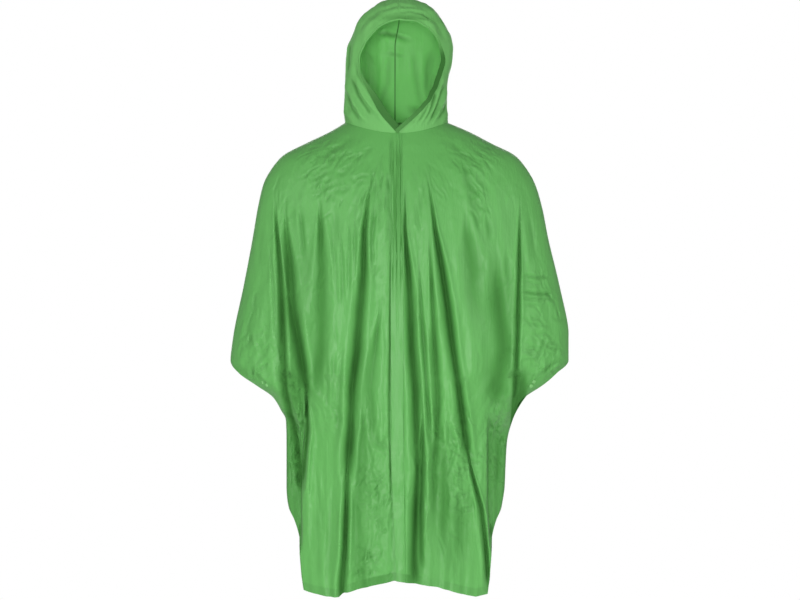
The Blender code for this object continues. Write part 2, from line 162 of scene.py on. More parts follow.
def besidePath(path, x, z):  # how far off a path (over 0 on its right), how far along it, and its length
    best = np.full(x.shape, 1e9)
    arc, side = np.zeros_like(x), np.ones_like(x)
    start = 0.0
    for (x0, z0), (x1, z1) in zip(path[:-1], path[1:]):
        run = math.hypot(x1 - x0, z1 - z0)
        ux, uz = (x1 - x0) / run, (z1 - z0) / run
        along = np.clip((x - x0) * ux + (z - z0) * uz, 0, run)
        dx, dz = x - x0 - along * ux, z - z0 - along * uz
        away = dx * dx + dz * dz
        closer = away < best
        best = np.where(closer, away, best)
        arc = np.where(closer, start + along, arc)
        side = np.where(closer, ux * dz - uz * dx, side)
        start += run
    return np.sqrt(best) * np.where(side > 0, 1, -1), arc, start


def troughs(table, x, z):  # how far a table's folds move the film out, and how much painted shade they lay in them
    shape = foldShape
    move, shadeAndDouble = np.zeros_like(x), np.zeros_like(x)
    for number, (path, depth, right, left, grow, fade, crown) in enumerate(table):
        path = np.array(path)
        reach = shape["near"] * max(right, left)
        near = ((x > path[:, 0].min() - reach) & (x < path[:, 0].max() + reach)
                & (z > path[:, 1].min() - reach) & (z < path[:, 1].max() + reach))
        if not near.any():
            continue
        px, pz = x[near], z[near]
        distance, arc, length = besidePath(path, px, pz)
        wander = softNoise(pz / 0.09 + 9 * number, px * 0 + number, 3)
        distance = distance + wander * shape["wander"] * (right + left)
        uneven = 1 + shape["unevenWidth"] * softNoise(arc / 0.07 + 5 * number, arc * 0 + 0.5, 4)
        if length > shape["longFold"]:
            opened = ease(arc / (shape["pinchedPart"] * length))
            uneven = uneven * (shape["pinch"] + (1 - shape["pinch"]) * opened)
        share = np.abs(distance) / (np.where(distance > 0, right, left) * uneven)
        strength = ease(arc / grow) * (ease((length - arc) / fade) if fade else 1)
        varied = softNoise(arc / 0.09 + 3 * number, arc * 0 + 2.5, 5)
        strength = strength * (1 + shape["unevenDepth"] * varied)
        sunk = shape["sink"] * depth * np.exp(-(share ** shape["steepness"]))
        move[near] += strength * (crown * hump(share, shape["crownAt"], shape["crownWidth"]) - sunk)
        # painted shade along the trough, darker the deeper the fold
        tone = np.clip(depth / shape["darkDepth"], 0, shape["darkest"]) * strength * np.exp(-(share**2))
        shadeAndDouble[near] = np.maximum(shadeAndDouble[near], tone)
    return move, shadeAndDouble


# The film ripples a little everywhere, more where it is crumpled: centre, reach and strength.
ripples = {
    "drape": 0.004,
    "ripple": 0.0009,
    "fine": 0.00025,
    "streak": 0.001,
    "crumpled": (
        (-0.15, -0.6, 0.035, 0.04, 0.6),
        (-0.215, -0.64, 0.03, 0.11, 1.6),
        (-0.045, -0.77, 0.04, 0.09, 1.4),
        (-0.06, -0.91, 0.045, 0.04, 1.0),
        (0.118, -0.7, 0.034, 0.12, 1.4),
        (0.06, -0.64, 0.02, 0.07, 0.7),
        (0.205, -0.66, 0.03, 0.11, 1.4),
        (-0.14, -0.08, 0.07, 0.06, 0.6),
        (0.15, -0.07, 0.07, 0.06, 0.6),
        (0.29, -0.33, 0.04, 0.06, 0.8),
        (-0.29, -0.48, 0.05, 0.06, 1.0),
        (0.29, -0.48, 0.05, 0.05, 1.2),
    ),
}


def rippled(x, z, across, amount=1.0):  # drape between the folds and the small ripples of thin film
    shown = ease((-0.04 - z) / 0.22)  # both start below the shoulders
    move = ripples["drape"] * shown * softNoise(across / 0.030, z / 0.22 + 3, 11)
    move += ripples["drape"] * 0.5 * shown * softNoise(across / 0.014 + 7, z / 0.16, 12)
    swayed = across / 0.0085 + 0.3 * softNoise(across / 0.05, z / 0.12, 18)
    streak = np.abs(softNoise(swayed, z / 0.12 + 5, 17))
    streaky = ease(0.5 + softNoise(across / 0.04 + 2, z / 0.15 + 1, 23))
    move -= ripples["streak"] * (0.15 + 0.85 * shown) * streaky * (1 - streak) ** 3
    rough = np.ones_like(x)
    for cx, cz, rx, rz, strength in ripples["crumpled"]:
        rough += strength * patch(x, z, cx, cz, rx, rz)
    bend = 0.012 * softNoise(x / 0.05, z / 0.05, 13)
    first = np.abs(softNoise((x + bend) / 0.020, (z - bend) / 0.042, 14))
    second = np.abs(softNoise((x - z * 0.4) / 0.016 + 3, (z + x * 0.5 + bend) / 0.030, 15))
    third = np.abs(softNoise((x + 0.6 * z) / 0.008, (z - 0.3 * x) / 0.014, 16))
    move += ripples["ripple"] * rough * (second - first)
    move += ripples["fine"] * rough * third
    return move * amount


def crumpled(points):  # how much the film is crumpled at each point, from 0 to 1
    x, z = points[:, 0], points[:, 2]
    amount = np.zeros(len(points))
    for cx, cz, rx, rz, strength in ripples["crumpled"]:
        near = patch(x, z, cx, cz, 1.1 * rx, 1.1 * rz)
        amount = np.maximum(amount, near * min(strength, 1))
    return 0.05 + 0.95 * amount * (0.5 + 0.5 * softNoise(x / 0.03, z / 0.03, 51))


def shaded(table, x, z):  # how much painted shade a table's broad patches lay at each point
    tone = np.zeros_like(x)
    for cx, cz, rx, rz, dark in table:
        tone = np.maximum(tone, dark * patch(x, z, cx, cz, rx, rz))
    return tone * (1 + 0.35 * softNoise(x / 0.018, z / 0.07, 61))


def nodeAdder(material):
    tree = material.node_tree
    tree.nodes.clear()

    def add(kind, links=None, **values):
        node = tree.nodes.new(kind)
        for key, value in values.items():
            if key in node.inputs:
                node.inputs[key].default_value = value
            else:
                setattr(node, key, value)
        for key, source in (links or {}).items():
            tree.links.new(source, node.inputs[key])
        return node

    return add, tree


def setRange(node, **ends):  # the ends of a Map Range node, such as fromMax or toMin
    for key, value in ends.items():
        label = "From " + key[4:] if key.startswith("from") else "To " + key[2:]
        node.inputs[label].default_value = value
    return node.outputs["Result"]


def filmMaterial(name, look):
    material = bpy.data.materials.new(name)
    material.use_nodes = True
    add, tree = nodeAdder(material)
    spot = add("ShaderNodeTexCoord").outputs["Object"]

    # Colour: cloudy between two tones, and darker where the film lies double and where shade is painted into
    # folds, creases, tucks and broad patches.
    cloud = add("ShaderNodeTexNoise", {"Vector": spot}, Scale=7.0, Detail=4.0, Roughness=0.6)
    tone = add("ShaderNodeMix", {"Factor": cloud.outputs["Fac"]}, data_type="RGBA")
    tone.inputs[6].default_value = (*look["shade"], 1)
    tone.inputs[7].default_value = (*look["light"], 1)
    layersAndShade = add("ShaderNodeAttribute", attribute_name="layersAndShade").outputs["Fac"]
    deep = setRange(add("ShaderNodeMapRange", {"Value": layersAndShade}), fromMax=1.6)
    mixed = add("ShaderNodeMix", data_type="RGBA")
    tree.links.new(deep, mixed.inputs[0])
    tree.links.new(tone.outputs[2], mixed.inputs[6])
    mixed.inputs[7].default_value = (*look["shadeAndDouble"], 1)
    colour = mixed.outputs[2]

    # Gloss: dull in the folds, and uneven as if handled.
    gloss = setRange(add("ShaderNodeMapRange", {"Value": layersAndShade}),
                     fromMin=0.30, fromMax=0.85, toMin=look["gloss"], toMax=0.0)
    handled = add("ShaderNodeTexNoise", {"Vector": spot}, Scale=24.0, Detail=3.0)
    rough = setRange(add("ShaderNodeMapRange", {"Value": handled.outputs["Fac"]}),
                     toMin=look["roughness"] - 0.06, toMax=look["roughness"] + 0.08)

    # Relief: fine hanging streaks, then crumples in patches, then a faint grain.
    hanging = add("ShaderNodeMapping", {"Vector": spot})
    hanging.inputs["Scale"].default_value = (1.0, 0.4, 0.13)
    streak = add("ShaderNodeTexNoise", {"Vector": hanging.outputs["Vector"]}, Scale=95.0, Detail=3.0,
                 Distortion=0.4)
    centred = add("ShaderNodeMath", {0: streak.outputs["Fac"]}, operation="SUBTRACT")
    centred.inputs[1].default_value = 0.5
    ridge = add("ShaderNodeMath", {0: centred.outputs[0]}, operation="ABSOLUTE")
    streaked = add("ShaderNodeBump", {"Height": ridge.outputs[0]}, Strength=look["streaks"], Distance=0.006)
    bend = add("ShaderNodeTexNoise", {"Vector": spot}, Scale=22.0, Detail=2.0)
    bent = add("ShaderNodeMix", data_type="VECTOR")
    tree.links.new(spot, bent.inputs[4])
    tree.links.new(bend.outputs["Color"], bent.inputs[5])
    bent.inputs[0].default_value = 0.035
    slant = add("ShaderNodeMapping", {"Vector": bent.outputs[1]})
    slant.inputs["Rotation"].default_value = (0.0, 0.35, 0.0)
    slant.inputs["Scale"].default_value = (1.0, 0.7, 0.55)
    facets = add("ShaderNodeTexVoronoi", {"Vector": slant.outputs["Vector"]}, Scale=74.0)
    zones = add("ShaderNodeAttribute", attribute_name="crumple")
    masked = add("ShaderNodeMath", {0: facets.outputs["Distance"], 1: zones.outputs["Fac"]},
                 operation="MULTIPLY")
    crumple = add("ShaderNodeBump", {"Height": masked.outputs[0], "Normal": streaked.outputs["Normal"]},
                  Strength=look["crinkle"], Distance=0.0075)
    small = add("ShaderNodeTexNoise", {"Vector": spot}, Scale=420.0, Detail=2.0)
    grained = add("ShaderNodeBump", {"Height": small.outputs["Fac"], "Normal": crumple.outputs["Normal"]},
                  Strength=look["grain"], Distance=0.0004)

    shader = add("ShaderNodeBsdfPrincipled", {"Base Color": colour, "Roughness": rough,
                                              "Normal": grained.outputs["Normal"]}, IOR=1.5)
    tree.links.new(gloss, shader.inputs["Specular IOR Level"])
    through = add("ShaderNodeBsdfTranslucent", {"Color": colour})
    both = add("ShaderNodeMixShader", {1: shader.outputs[0], 2: through.outputs[0]})
    both.inputs[0].default_value = look["through"]
    end = add("ShaderNodeOutputMaterial")
    tree.links.new(both.outputs[0], end.inputs["Surface"])
    return material


# The darkest green is mixed in where film lies double and where shade is painted.
filmLook = {
    "light": (0.147, 0.480, 0.120),
    "shade": (0.120, 0.415, 0.098),
    "shadeAndDouble": (0.040, 0.158, 0.031),
    "roughness": 0.43,
    "gloss": 0.28,
    "streaks": 0.30,
    "crinkle": 1.0,
    "grain": 0.10,
    "through": 0.18,
}
litHoodLook = {**filmLook, "light": (0.285, 0.770, 0.238), "shade": (0.250, 0.700, 0.205),
            "roughness": 0.46, "gloss": 0.20, "streaks": 0.38, "through": 0.22}  # painted light: paler greens so the hood looks lit inside, and more light comes through
turnedLook = {**filmLook, "light": (0.098, 0.350, 0.076), "shade": (0.080, 0.300, 0.062),
              "shadeAndDouble": (0.045, 0.190, 0.034), "roughness": 0.48, "gloss": 0.22, "through": 0.15}
film = filmMaterial("filmGreen", filmLook)
litHoodFilm = filmMaterial("filmHoodPaintedLight", litHoodLook)
turnedFilm = filmMaterial("filmTurned", turnedLook)
print("materials made")


def evenAngles(count, ratio):  # shares of the quarter turn that space columns evenly along the film
    angle = np.linspace(0, np.pi / 2, 2000)
    speed = np.hypot(np.cos(angle), ratio * np.sin(angle))
    run = np.concatenate([[0], np.cumsum((speed[1:] + speed[:-1]) / 2)])
    return np.interp(np.linspace(0, run[-1], count + 1), run, angle / (np.pi / 2))


def evenRows(table, name, step, first=0, last=None):  # row numbers about one step of height apart
    last = len(table["sections"]) - 1 if last is None else last
    rows = np.linspace(first, last, 4000)
    z = sectionValue(table, name, rows)
    run = np.concatenate([[0], np.cumsum(np.abs(np.diff(z)) + 0.02 / 4000)])
    return np.interp(np.linspace(0, run[-1], int(run[-1] / step) + 1), run, rows)


# One piece of film: a grid whose columns and rows a surface function turns into points, outward directions
# and how dark it is, from film lying double and from painted shade, given a wall as thick as the film.
def filmPiece(name, across, along, surface, material, lift=0.0):
    mesh = bmesh.new()
    bmesh.ops.create_grid(mesh, x_segments=len(across) - 1, y_segments=len(along) - 1, size=0.5)
    for edge in mesh.edges:
        edge.smooth = not edge.is_boundary  # cut edges stay crisp
    data = bpy.data.meshes.new(name)
    mesh.to_mesh(data)
    mesh.free()
    spot = np.empty(len(data.vertices) * 3)
    data.vertices.foreach_get("co", spot)
    spot = spot.reshape(-1, 3) + 0.5
    u = np.asarray(across)[np.rint(spot[:, 0] * (len(across) - 1)).astype(int)]
    v = np.asarray(along)[np.rint(spot[:, 1] * (len(along) - 1)).astype(int)]
    points, out, layersAndShade = surface(u.astype(float), v.astype(float))
    data.vertices.foreach_set("co", (points + out * lift).ravel())
    data.update()
    face = data.polygons[len(data.polygons) // 2 + len(across) // 2]
    if np.dot(np.array(face.normal), out[list(face.vertices)].mean(axis=0)) < 0:
        data.flip_normals()
    for attribute, values in (("layersAndShade", layersAndShade), ("crumple", crumpled(points))):
        data.attributes.new(attribute, "FLOAT", "POINT").data.foreach_set("value", values.astype(np.float32))
    data.shade_smooth()
    data.materials.append(material)
    piece = bpy.data.objects.new(name, data)
    bpy.context.scene.collection.objects.link(piece)
    wall = piece.modifiers.new("wall", "SOLIDIFY")
    wall.thickness = filmGauge
    wall.offset = -1
    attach(piece, "root")
    return piece


# Body sections from neck to hem: height at the side line, half widths, how far the cuff edges stand
# apart, height and depth at the middle of the front and of the back, and how late the section climbs.
# Between the two middle heights of hemShape, the hem's own drop (at x) and climb (at a share of the half
# width) take over.
body = {
    "columns": ("sideZ", "right", "left", "mouth", "frontZ", "frontY", "backZ", "backY", "rise"),
    "sections": (
        (0.021, 0.116, 0.105, 0, -0.008, 0.092, 0.03, 0.08, 2),
        (0.002, 0.148, 0.15, 0, -0.032, 0.103, 0.012, 0.096, 2),
        (-0.024, 0.202, 0.2, 0, -0.068, 0.115, -0.02, 0.11, 2),
        (-0.049, 0.249, 0.249, 0, -0.102, 0.125, -0.054, 0.121, 2),
        (-0.075, 0.272, 0.272, 0, -0.134, 0.131, -0.086, 0.128, 2),
        (-0.11, 0.291, 0.292, 0, -0.17, 0.136, -0.122, 0.132, 2),
        (-0.16, 0.303, 0.307, 0, -0.216, 0.14, -0.172, 0.135, 2),
        (-0.23, 0.315, 0.321, 0, -0.28, 0.143, -0.24, 0.136, 2),
        (-0.33, 0.334, 0.345, 0, -0.366, 0.143, -0.34, 0.135, 2),
        (-0.43, 0.355, 0.364, 0, -0.452, 0.142, -0.44, 0.133, 2),
        (-0.488, 0.362, 0.364, 0, -0.506, 0.142, -0.5, 0.132, 2),
        (-0.514, 0.34, 0.335, 0.045, -0.536, 0.142, -0.53, 0.132, 2),
        (-0.54, 0.301, 0.307, 0.06, -0.566, 0.141, -0.56, 0.131, 2),
        (-0.566, 0.266, 0.28, 0.052, -0.596, 0.141, -0.59, 0.131, 2),
        (-0.592, 0.252, 0.26, 0.034, -0.626, 0.141, -0.622, 0.131, 3),
        (-0.62, 0.243, 0.243, 0, -0.66, 0.141, -0.656, 0.13, 3),
        (-0.665, 0.242, 0.232, 0, -0.72, 0.142, -0.72, 0.131, 4),
        (-0.715, 0.242, 0.229, 0, -0.795, 0.143, -0.8, 0.132, 6),
        (-0.76, 0.242, 0.227, 0, -0.866, 0.145, -0.868, 0.133, 9),
        (-0.789, 0.24, 0.223, 0, -0.923, 0.146, -0.932, 0.134, 12),
        (-0.805, 0.237, 0.22, 0, -0.941, 0.147, -0.95, 0.134, 12),
    ),
    "cuffTop": 10,
    "cuffFoot": 15,
    "leftCuffTuck": {"share": 0.06, "row": 13.3, "rows": 1.1, "end": 15.4, "fade": 1.2},
    "hemTop": 19,
    "hem": 20,
    "hemShape": (-0.6, -0.923),
    "hemDrop": ((-0.24, 0.02), (-0.2, 0.028), (-0.19, 0.031), (-0.15, 0.037), (-0.125, 0.037),
                (-0.115, 0.028), (-0.06, 0.012), (-0.01, 0.0), (0.08, 0.014), (0.13, 0.031), (0.16, 0.039),
                (0.19, 0.036), (0.22, 0.022)),
    "hemClimb": ((0, 0), (0.85, 0), (0.885, 0.62), (0.95, 0.87), (1, 1)),
}
frontFolds = (
    (((-0.266, -0.13), (-0.2595, -0.213), (-0.253, -0.297), (-0.249, -0.38), (-0.2445, -0.463),
     (-0.24, -0.546), (-0.2325, -0.6), (-0.2256, -0.63), (-0.215, -0.713), (-0.2135, -0.79)), 0.022, 0.006,
     0.012, 0.1, 0.05, 0.003),
    (((-0.232, -0.47), (-0.222, -0.546), (-0.216, -0.62)), 0.01, 0.02, 0.02, 0.06, 0.06, 0.001),
    (((-0.278, -0.235), (-0.27, -0.297), (-0.264, -0.38), (-0.262, -0.46)), 0.006, 0.004, 0.004, 0.05, 0.08,
     0.001),
    (((-0.243, -0.14), (-0.24, -0.213), (-0.232, -0.297), (-0.2256, -0.38), (-0.211, -0.463),
     (-0.1965, -0.546), (-0.1955, -0.6)), 0.03, 0.0085, 0.014, 0.14, 0.08, 0.004),
    (((-0.198, -0.52), (-0.197, -0.63), (-0.2035, -0.713), (-0.2085, -0.77)), 0.022, 0.005, 0.005, 0.06,
     0.06, 0.003),
    (((-0.226, -0.5), (-0.225, -0.56), (-0.218, -0.6)), 0.008, 0.005, 0.005, 0.04, 0.04, 0.001),
    (((-0.211, -0.5), (-0.21, -0.56), (-0.206, -0.62), (-0.2065, -0.66)), 0.007, 0.004, 0.004, 0.04, 0.04,
     0.001),
    (((-0.213, -0.15), (-0.2065, -0.213), (-0.1995, -0.297)), 0.007, 0.004, 0.004, 0.05, 0.06, 0.001),
    (((-0.172, -0.13), (-0.1665, -0.213), (-0.1645, -0.297), (-0.1665, -0.38), (-0.1706, -0.463),
     (-0.177, -0.546), (-0.184, -0.62)), 0.014, 0.014, 0.011, 0.1, 0.12, 0.002),
    (((-0.143, -0.2), (-0.136, -0.297), (-0.131, -0.38)), 0.0032, 0.003, 0.003, 0.05, 0.08, 0.0015),
    (((-0.127, -0.19), (-0.121, -0.297), (-0.119, -0.4)), 0.0034, 0.003, 0.003, 0.05, 0.08, 0.0015),
    (((-0.108, -0.17), (-0.106, -0.26), (-0.108, -0.38)), 0.0034, 0.003, 0.003, 0.05, 0.08, 0.0015),
    (((-0.096, -0.16), (-0.095, -0.26), (-0.099, -0.37)), 0.0032, 0.003, 0.0035, 0.05, 0.08, 0.0015),
    (((-0.052, -0.15), (-0.059, -0.23), (-0.06, -0.33)), 0.0045, 0.003, 0.003, 0.05, 0.08, 0.0015),
    (((-0.14, -0.46), (-0.138, -0.52), (-0.141, -0.6)), 0.004, 0.003, 0.0035, 0.04, 0.05, 0.0012),
    (((-0.156, -0.47), (-0.152, -0.54), (-0.156, -0.6)), 0.004, 0.003, 0.0035, 0.04, 0.05, 0.0012),
    (((-0.137, -0.15), (-0.133, -0.275)), 0.005, 0.007, 0.008, 0.06, 0.08, 0.001),
    (((-0.12, -0.44), (-0.127, -0.546), (-0.131, -0.63), (-0.135, -0.7)), 0.006, 0.006, 0.007, 0.08, 0.08,
     0.001),
    (((-0.04, -0.05), (-0.06, -0.11), (-0.068, -0.151), (-0.0749, -0.213), (-0.0762, -0.297),
     (-0.0843, -0.38), (-0.0894, -0.463), (-0.0998, -0.546), (-0.1032, -0.63), (-0.1105, -0.713),
     (-0.1132, -0.796)), 0.025, 0.008, 0.0095, 0.22, 0.14, 0.005),
    (((-0.108, -0.66), (-0.1105, -0.713), (-0.1132, -0.796), (-0.116, -0.879), (-0.1225, -0.952),
     (-0.1235, -0.99)), 0.022, 0.0052, 0.0065, 0.14, 0, 0.004),
    (((-0.079, -0.56), (-0.0792, -0.63), (-0.087, -0.713), (-0.092, -0.796), (-0.088, -0.879),
     (-0.086, -0.99)), 0.0085, 0.017, 0.01, 0.08, 0, 0.001),
    (((-0.0437, -0.34), (-0.0437, -0.38), (-0.053, -0.463), (-0.0624, -0.546), (-0.06, -0.63),
     (-0.064, -0.69)), 0.01, 0.008, 0.007, 0.1, 0.08, 0.002),
    (((-0.06, -0.618), (-0.048, -0.656), (-0.035, -0.662), (-0.027, -0.63)), 0.007, 0.005, 0.007, 0.04,
     0.04, 0.002),
    (((-0.019, -0.08), (-0.018, -0.213), (-0.018, -0.297), (-0.0195, -0.38), (-0.0205, -0.463),
     (-0.023, -0.546), (-0.0228, -0.63), (-0.019, -0.713), (-0.0135, -0.796), (-0.014, -0.879),
     (-0.015, -0.99)), 0.006, 0.003, 0.003, 0.05, 0, 0.001),
    (((-0.027, -0.09), (-0.025, -0.15), (-0.025, -0.2)), 0.006, 0.004, 0.004, 0.03, 0.04, 0.001),
    (((0.0085, -0.09), (0.009, -0.213), (0.0166, -0.297), (0.0205, -0.38), (0.0235, -0.463),
     (0.0305, -0.546), (0.0342, -0.63), (0.035, -0.713), (0.0322, -0.796), (0.03, -0.879), (0.029, -0.99)),
     0.02, 0.0085, 0.009, 0.14, 0.08, 0.004),
    (((0.044, -0.57), (0.044, -0.64), (0.042, -0.713), (0.0405, -0.8), (0.041, -0.88), (0.042, -0.94)),
     0.015, 0.0075, 0.007, 0.08, 0.06, 0.002),
    (((0.036, -0.24), (0.039, -0.297), (0.043, -0.38), (0.049, -0.463), (0.054, -0.546), (0.061, -0.63),
     (0.068, -0.7)), 0.009, 0.004, 0.0045, 0.1, 0.08, 0.003),
    (((0.054, -0.2), (0.062, -0.297), (0.0665, -0.38), (0.0705, -0.463), (0.0765, -0.546), (0.076, -0.63),
     (0.0705, -0.713), (0.072, -0.796), (0.07, -0.88)), 0.014, 0.0065, 0.0055, 0.14, 0.14, 0.003),
    (((0.084, -0.6), (0.088, -0.713), (0.09, -0.8), (0.092, -0.92)), 0.011, 0.013, 0.014, 0.1, 0.12, 0.001),
    (((0.118, -0.74), (0.12, -0.82), (0.124, -0.93)), 0.01, 0.018, 0.014, 0.08, 0.08, 0.001),
    (((0.049, -0.06), (0.0602, -0.13), (0.0706, -0.213), (0.0852, -0.297), (0.0977, -0.38), (0.109, -0.463),
     (0.1226, -0.546), (0.131, -0.63), (0.1477, -0.713), (0.158, -0.755)), 0.025, 0.007, 0.0075, 0.2, 0.12,
     0.005),
    (((0.131, -0.63), (0.1477, -0.713), (0.1688, -0.796), (0.1785, -0.879), (0.1835, -0.952),
     (0.185, -0.99)), 0.019, 0.0036, 0.0046, 0.12, 0.06, 0.004),
    (((0.104, -0.045), (0.133, -0.085), (0.1505, -0.13), (0.16, -0.17), (0.166, -0.213)), 0.006, 0.008,
     0.008, 0.06, 0.06, 0.001),
    (((0.133, -0.16), (0.136, -0.213), (0.15, -0.297), (0.157, -0.38), (0.16, -0.46)), 0.011, 0.018, 0.014,
     0.08, 0.16, 0.002),
    (((0.184, -0.18), (0.188, -0.24)), 0.006, 0.004, 0.004, 0.03, 0.03, 0.001),
    (((0.196, -0.22), (0.208, -0.38), (0.215, -0.463), (0.205, -0.546), (0.2, -0.6)), 0.017, 0.018, 0.026,
     0.16, 0.06, 0.001),
    (((0.222, -0.24), (0.226, -0.33), (0.228, -0.44)), 0.006, 0.01, 0.01, 0.06, 0.08, 0.001),
    (((0.252, -0.49), (0.249, -0.546), (0.243, -0.61)), 0.012, 0.024, 0.006, 0.06, 0.04, 0.001),
    (((0.253, -0.12), (0.25, -0.213), (0.2485, -0.297), (0.2464, -0.38), (0.2443, -0.463), (0.24, -0.546),
     (0.232, -0.62)), 0.02, 0.0035, 0.0055, 0.14, 0.08, 0.003),
    (((0.272, -0.17), (0.283, -0.28)), 0.004, 0.006, 0.006, 0.05, 0.05, 0.001),
    (((0.099, -0.79), (0.116, -0.95)), 0.005, 0.009, 0.009, 0.06, 0.05, 0.001),
    (((0.204, -0.62), (0.208, -0.68), (0.204, -0.78)), 0.009, 0.007, 0.006, 0.05, 0.05, 0.001),
    (((-0.14, -0.72), (-0.146, -0.82), (-0.152, -0.96)), 0.003, 0.009, 0.008, 0.08, 0.05, 0.001),
    (((-0.176, -0.7), (-0.17, -0.8), (-0.176, -0.96)), 0.003, 0.008, 0.01, 0.08, 0.05, 0.001),
)
# Low down, the sides of the fronts tuck back behind a folded edge: (height, x) of that edge.
tuckedSides = {
    -1: ((-0.6, -0.192), (-0.68, -0.2), (-0.76, -0.2035), (-0.85, -0.2025), (-1.0, -0.199)),
    1: ((-0.6, 0.184), (-0.68, 0.1835), (-0.8, 0.184), (-0.85, 0.187), (-1.0, 0.188)),
    "depth": 0.62,
    "edge": 0.007,
    "from": -0.585,
    "full": -0.665,
    "foot": -0.89,
    # painted shade on the side tucked back behind the edge
    "tone": 0.55,
    "crown": (-0.01, 0.008, 0.004),  # the soft crown before the edge: from the edge, reach and height
}
# Small creases: puckers over the shoulders, marks where the film was folded flat, crumples in the skirt.
frontCreases = (
    (((-0.08, -0.01), (-0.134, -0.041), (-0.19, -0.075)), 0.0022, 0.006, 0.006, 0.03, 0.03, 0.001),
    (((-0.134, -0.085), (-0.148, -0.109), (-0.17, -0.136)), 0.0016, 0.005, 0.005, 0.02, 0.02, 0.001),
    (((-0.134, -0.085), (-0.15, -0.092), (-0.182, -0.096)), 0.0014, 0.004, 0.004, 0.02, 0.02, 0.001),
    (((-0.085, -0.06), (-0.12, -0.095), (-0.135, -0.14)), 0.002, 0.007, 0.007, 0.03, 0.03, 0.001),
    (((0.1, -0.018), (0.135, -0.05), (0.19, -0.088)), 0.0022, 0.007, 0.006, 0.03, 0.03, 0.001),
    (((0.12, -0.03), (0.15, -0.085), (0.196, -0.14)), 0.0018, 0.006, 0.006, 0.03, 0.04, 0.001),
    (((0.256, -0.306), (0.29, -0.311), (0.322, -0.308)), 0.0036, 0.003, 0.0038, 0.02, 0.02, 0.0018),
    (((0.262, -0.318), (0.301, -0.331)), 0.0022, 0.003, 0.0034, 0.01, 0.01, 0.0005),
    (((0.252, -0.34), (0.29, -0.345), (0.326, -0.346)), 0.0044, 0.003, 0.0034, 0.02, 0.01, 0.002),
    (((0.252, -0.353), (0.29, -0.357), (0.326, -0.356)), 0.0034, 0.0026, 0.003, 0.02, 0.01, 0.0016),
    (((0.256, -0.371), (0.3, -0.369)), 0.0026, 0.0028, 0.0032, 0.02, 0.02, 0.0006),
    (((0.284, -0.384), (0.309, -0.418)), 0.0026, 0.003, 0.003, 0.01, 0.01, 0.0006),
    (((0.312, -0.43), (0.284, -0.497)), 0.0034, 0.0032, 0.0034, 0.02, 0.02, 0.0016),
    (((0.296, -0.52), (0.318, -0.498), (0.345, -0.48)), 0.0042, 0.003, 0.0044, 0.02, 0.02, 0.002),
    (((0.252, -0.3), (0.222, -0.33), (0.172, -0.372)), 0.0014, 0.0024, 0.003, 0.03, 0.03, 0.0006),
    (((-0.077, -0.811), (-0.045, -0.806), (-0.015, -0.809)), 0.002, 0.004, 0.003, 0.02, 0.02, 0.001),
    (((0.112, -0.774), (0.139, -0.78), (0.16, -0.774)), 0.0016, 0.003, 0.003, 0.01, 0.02, 0.0008),
    (((0.108, -0.791), (0.133, -0.801), (0.162, -0.795)), 0.0018, 0.003, 0.003, 0.01, 0.02, 0.0008),
    (((-0.155, -0.565), (-0.13, -0.59), (-0.118, -0.63)), 0.0022, 0.005, 0.005, 0.02, 0.02, 0.001),
    (((-0.16, -0.61), (-0.14, -0.6), (-0.125, -0.57)), 0.0016, 0.004, 0.004, 0.02, 0.02, 0.0008),
    (((0.092, -0.6), (0.112, -0.65), (0.104, -0.72), (0.122, -0.775)), 0.0024, 0.005, 0.005, 0.03, 0.03,
     0.0012),
    (((0.09, -0.7), (0.112, -0.69), (0.128, -0.64)), 0.0018, 0.004, 0.004, 0.02, 0.02, 0.0008),
    (((-0.3, -0.33), (-0.33, -0.47)), 0.002, 0.006, 0.006, 0.04, 0.04, 0.001),
    (((-0.29, -0.2), (-0.296, -0.3)), 0.0016, 0.006, 0.006, 0.03, 0.03, 0.0008),
    (((-0.224, -0.6), (-0.206, -0.65), (-0.214, -0.72)), 0.003, 0.004, 0.004, 0.02, 0.02, 0.0014),
    (((-0.212, -0.64), (-0.222, -0.7), (-0.21, -0.76)), 0.003, 0.004, 0.004, 0.02, 0.02, 0.0014),
)
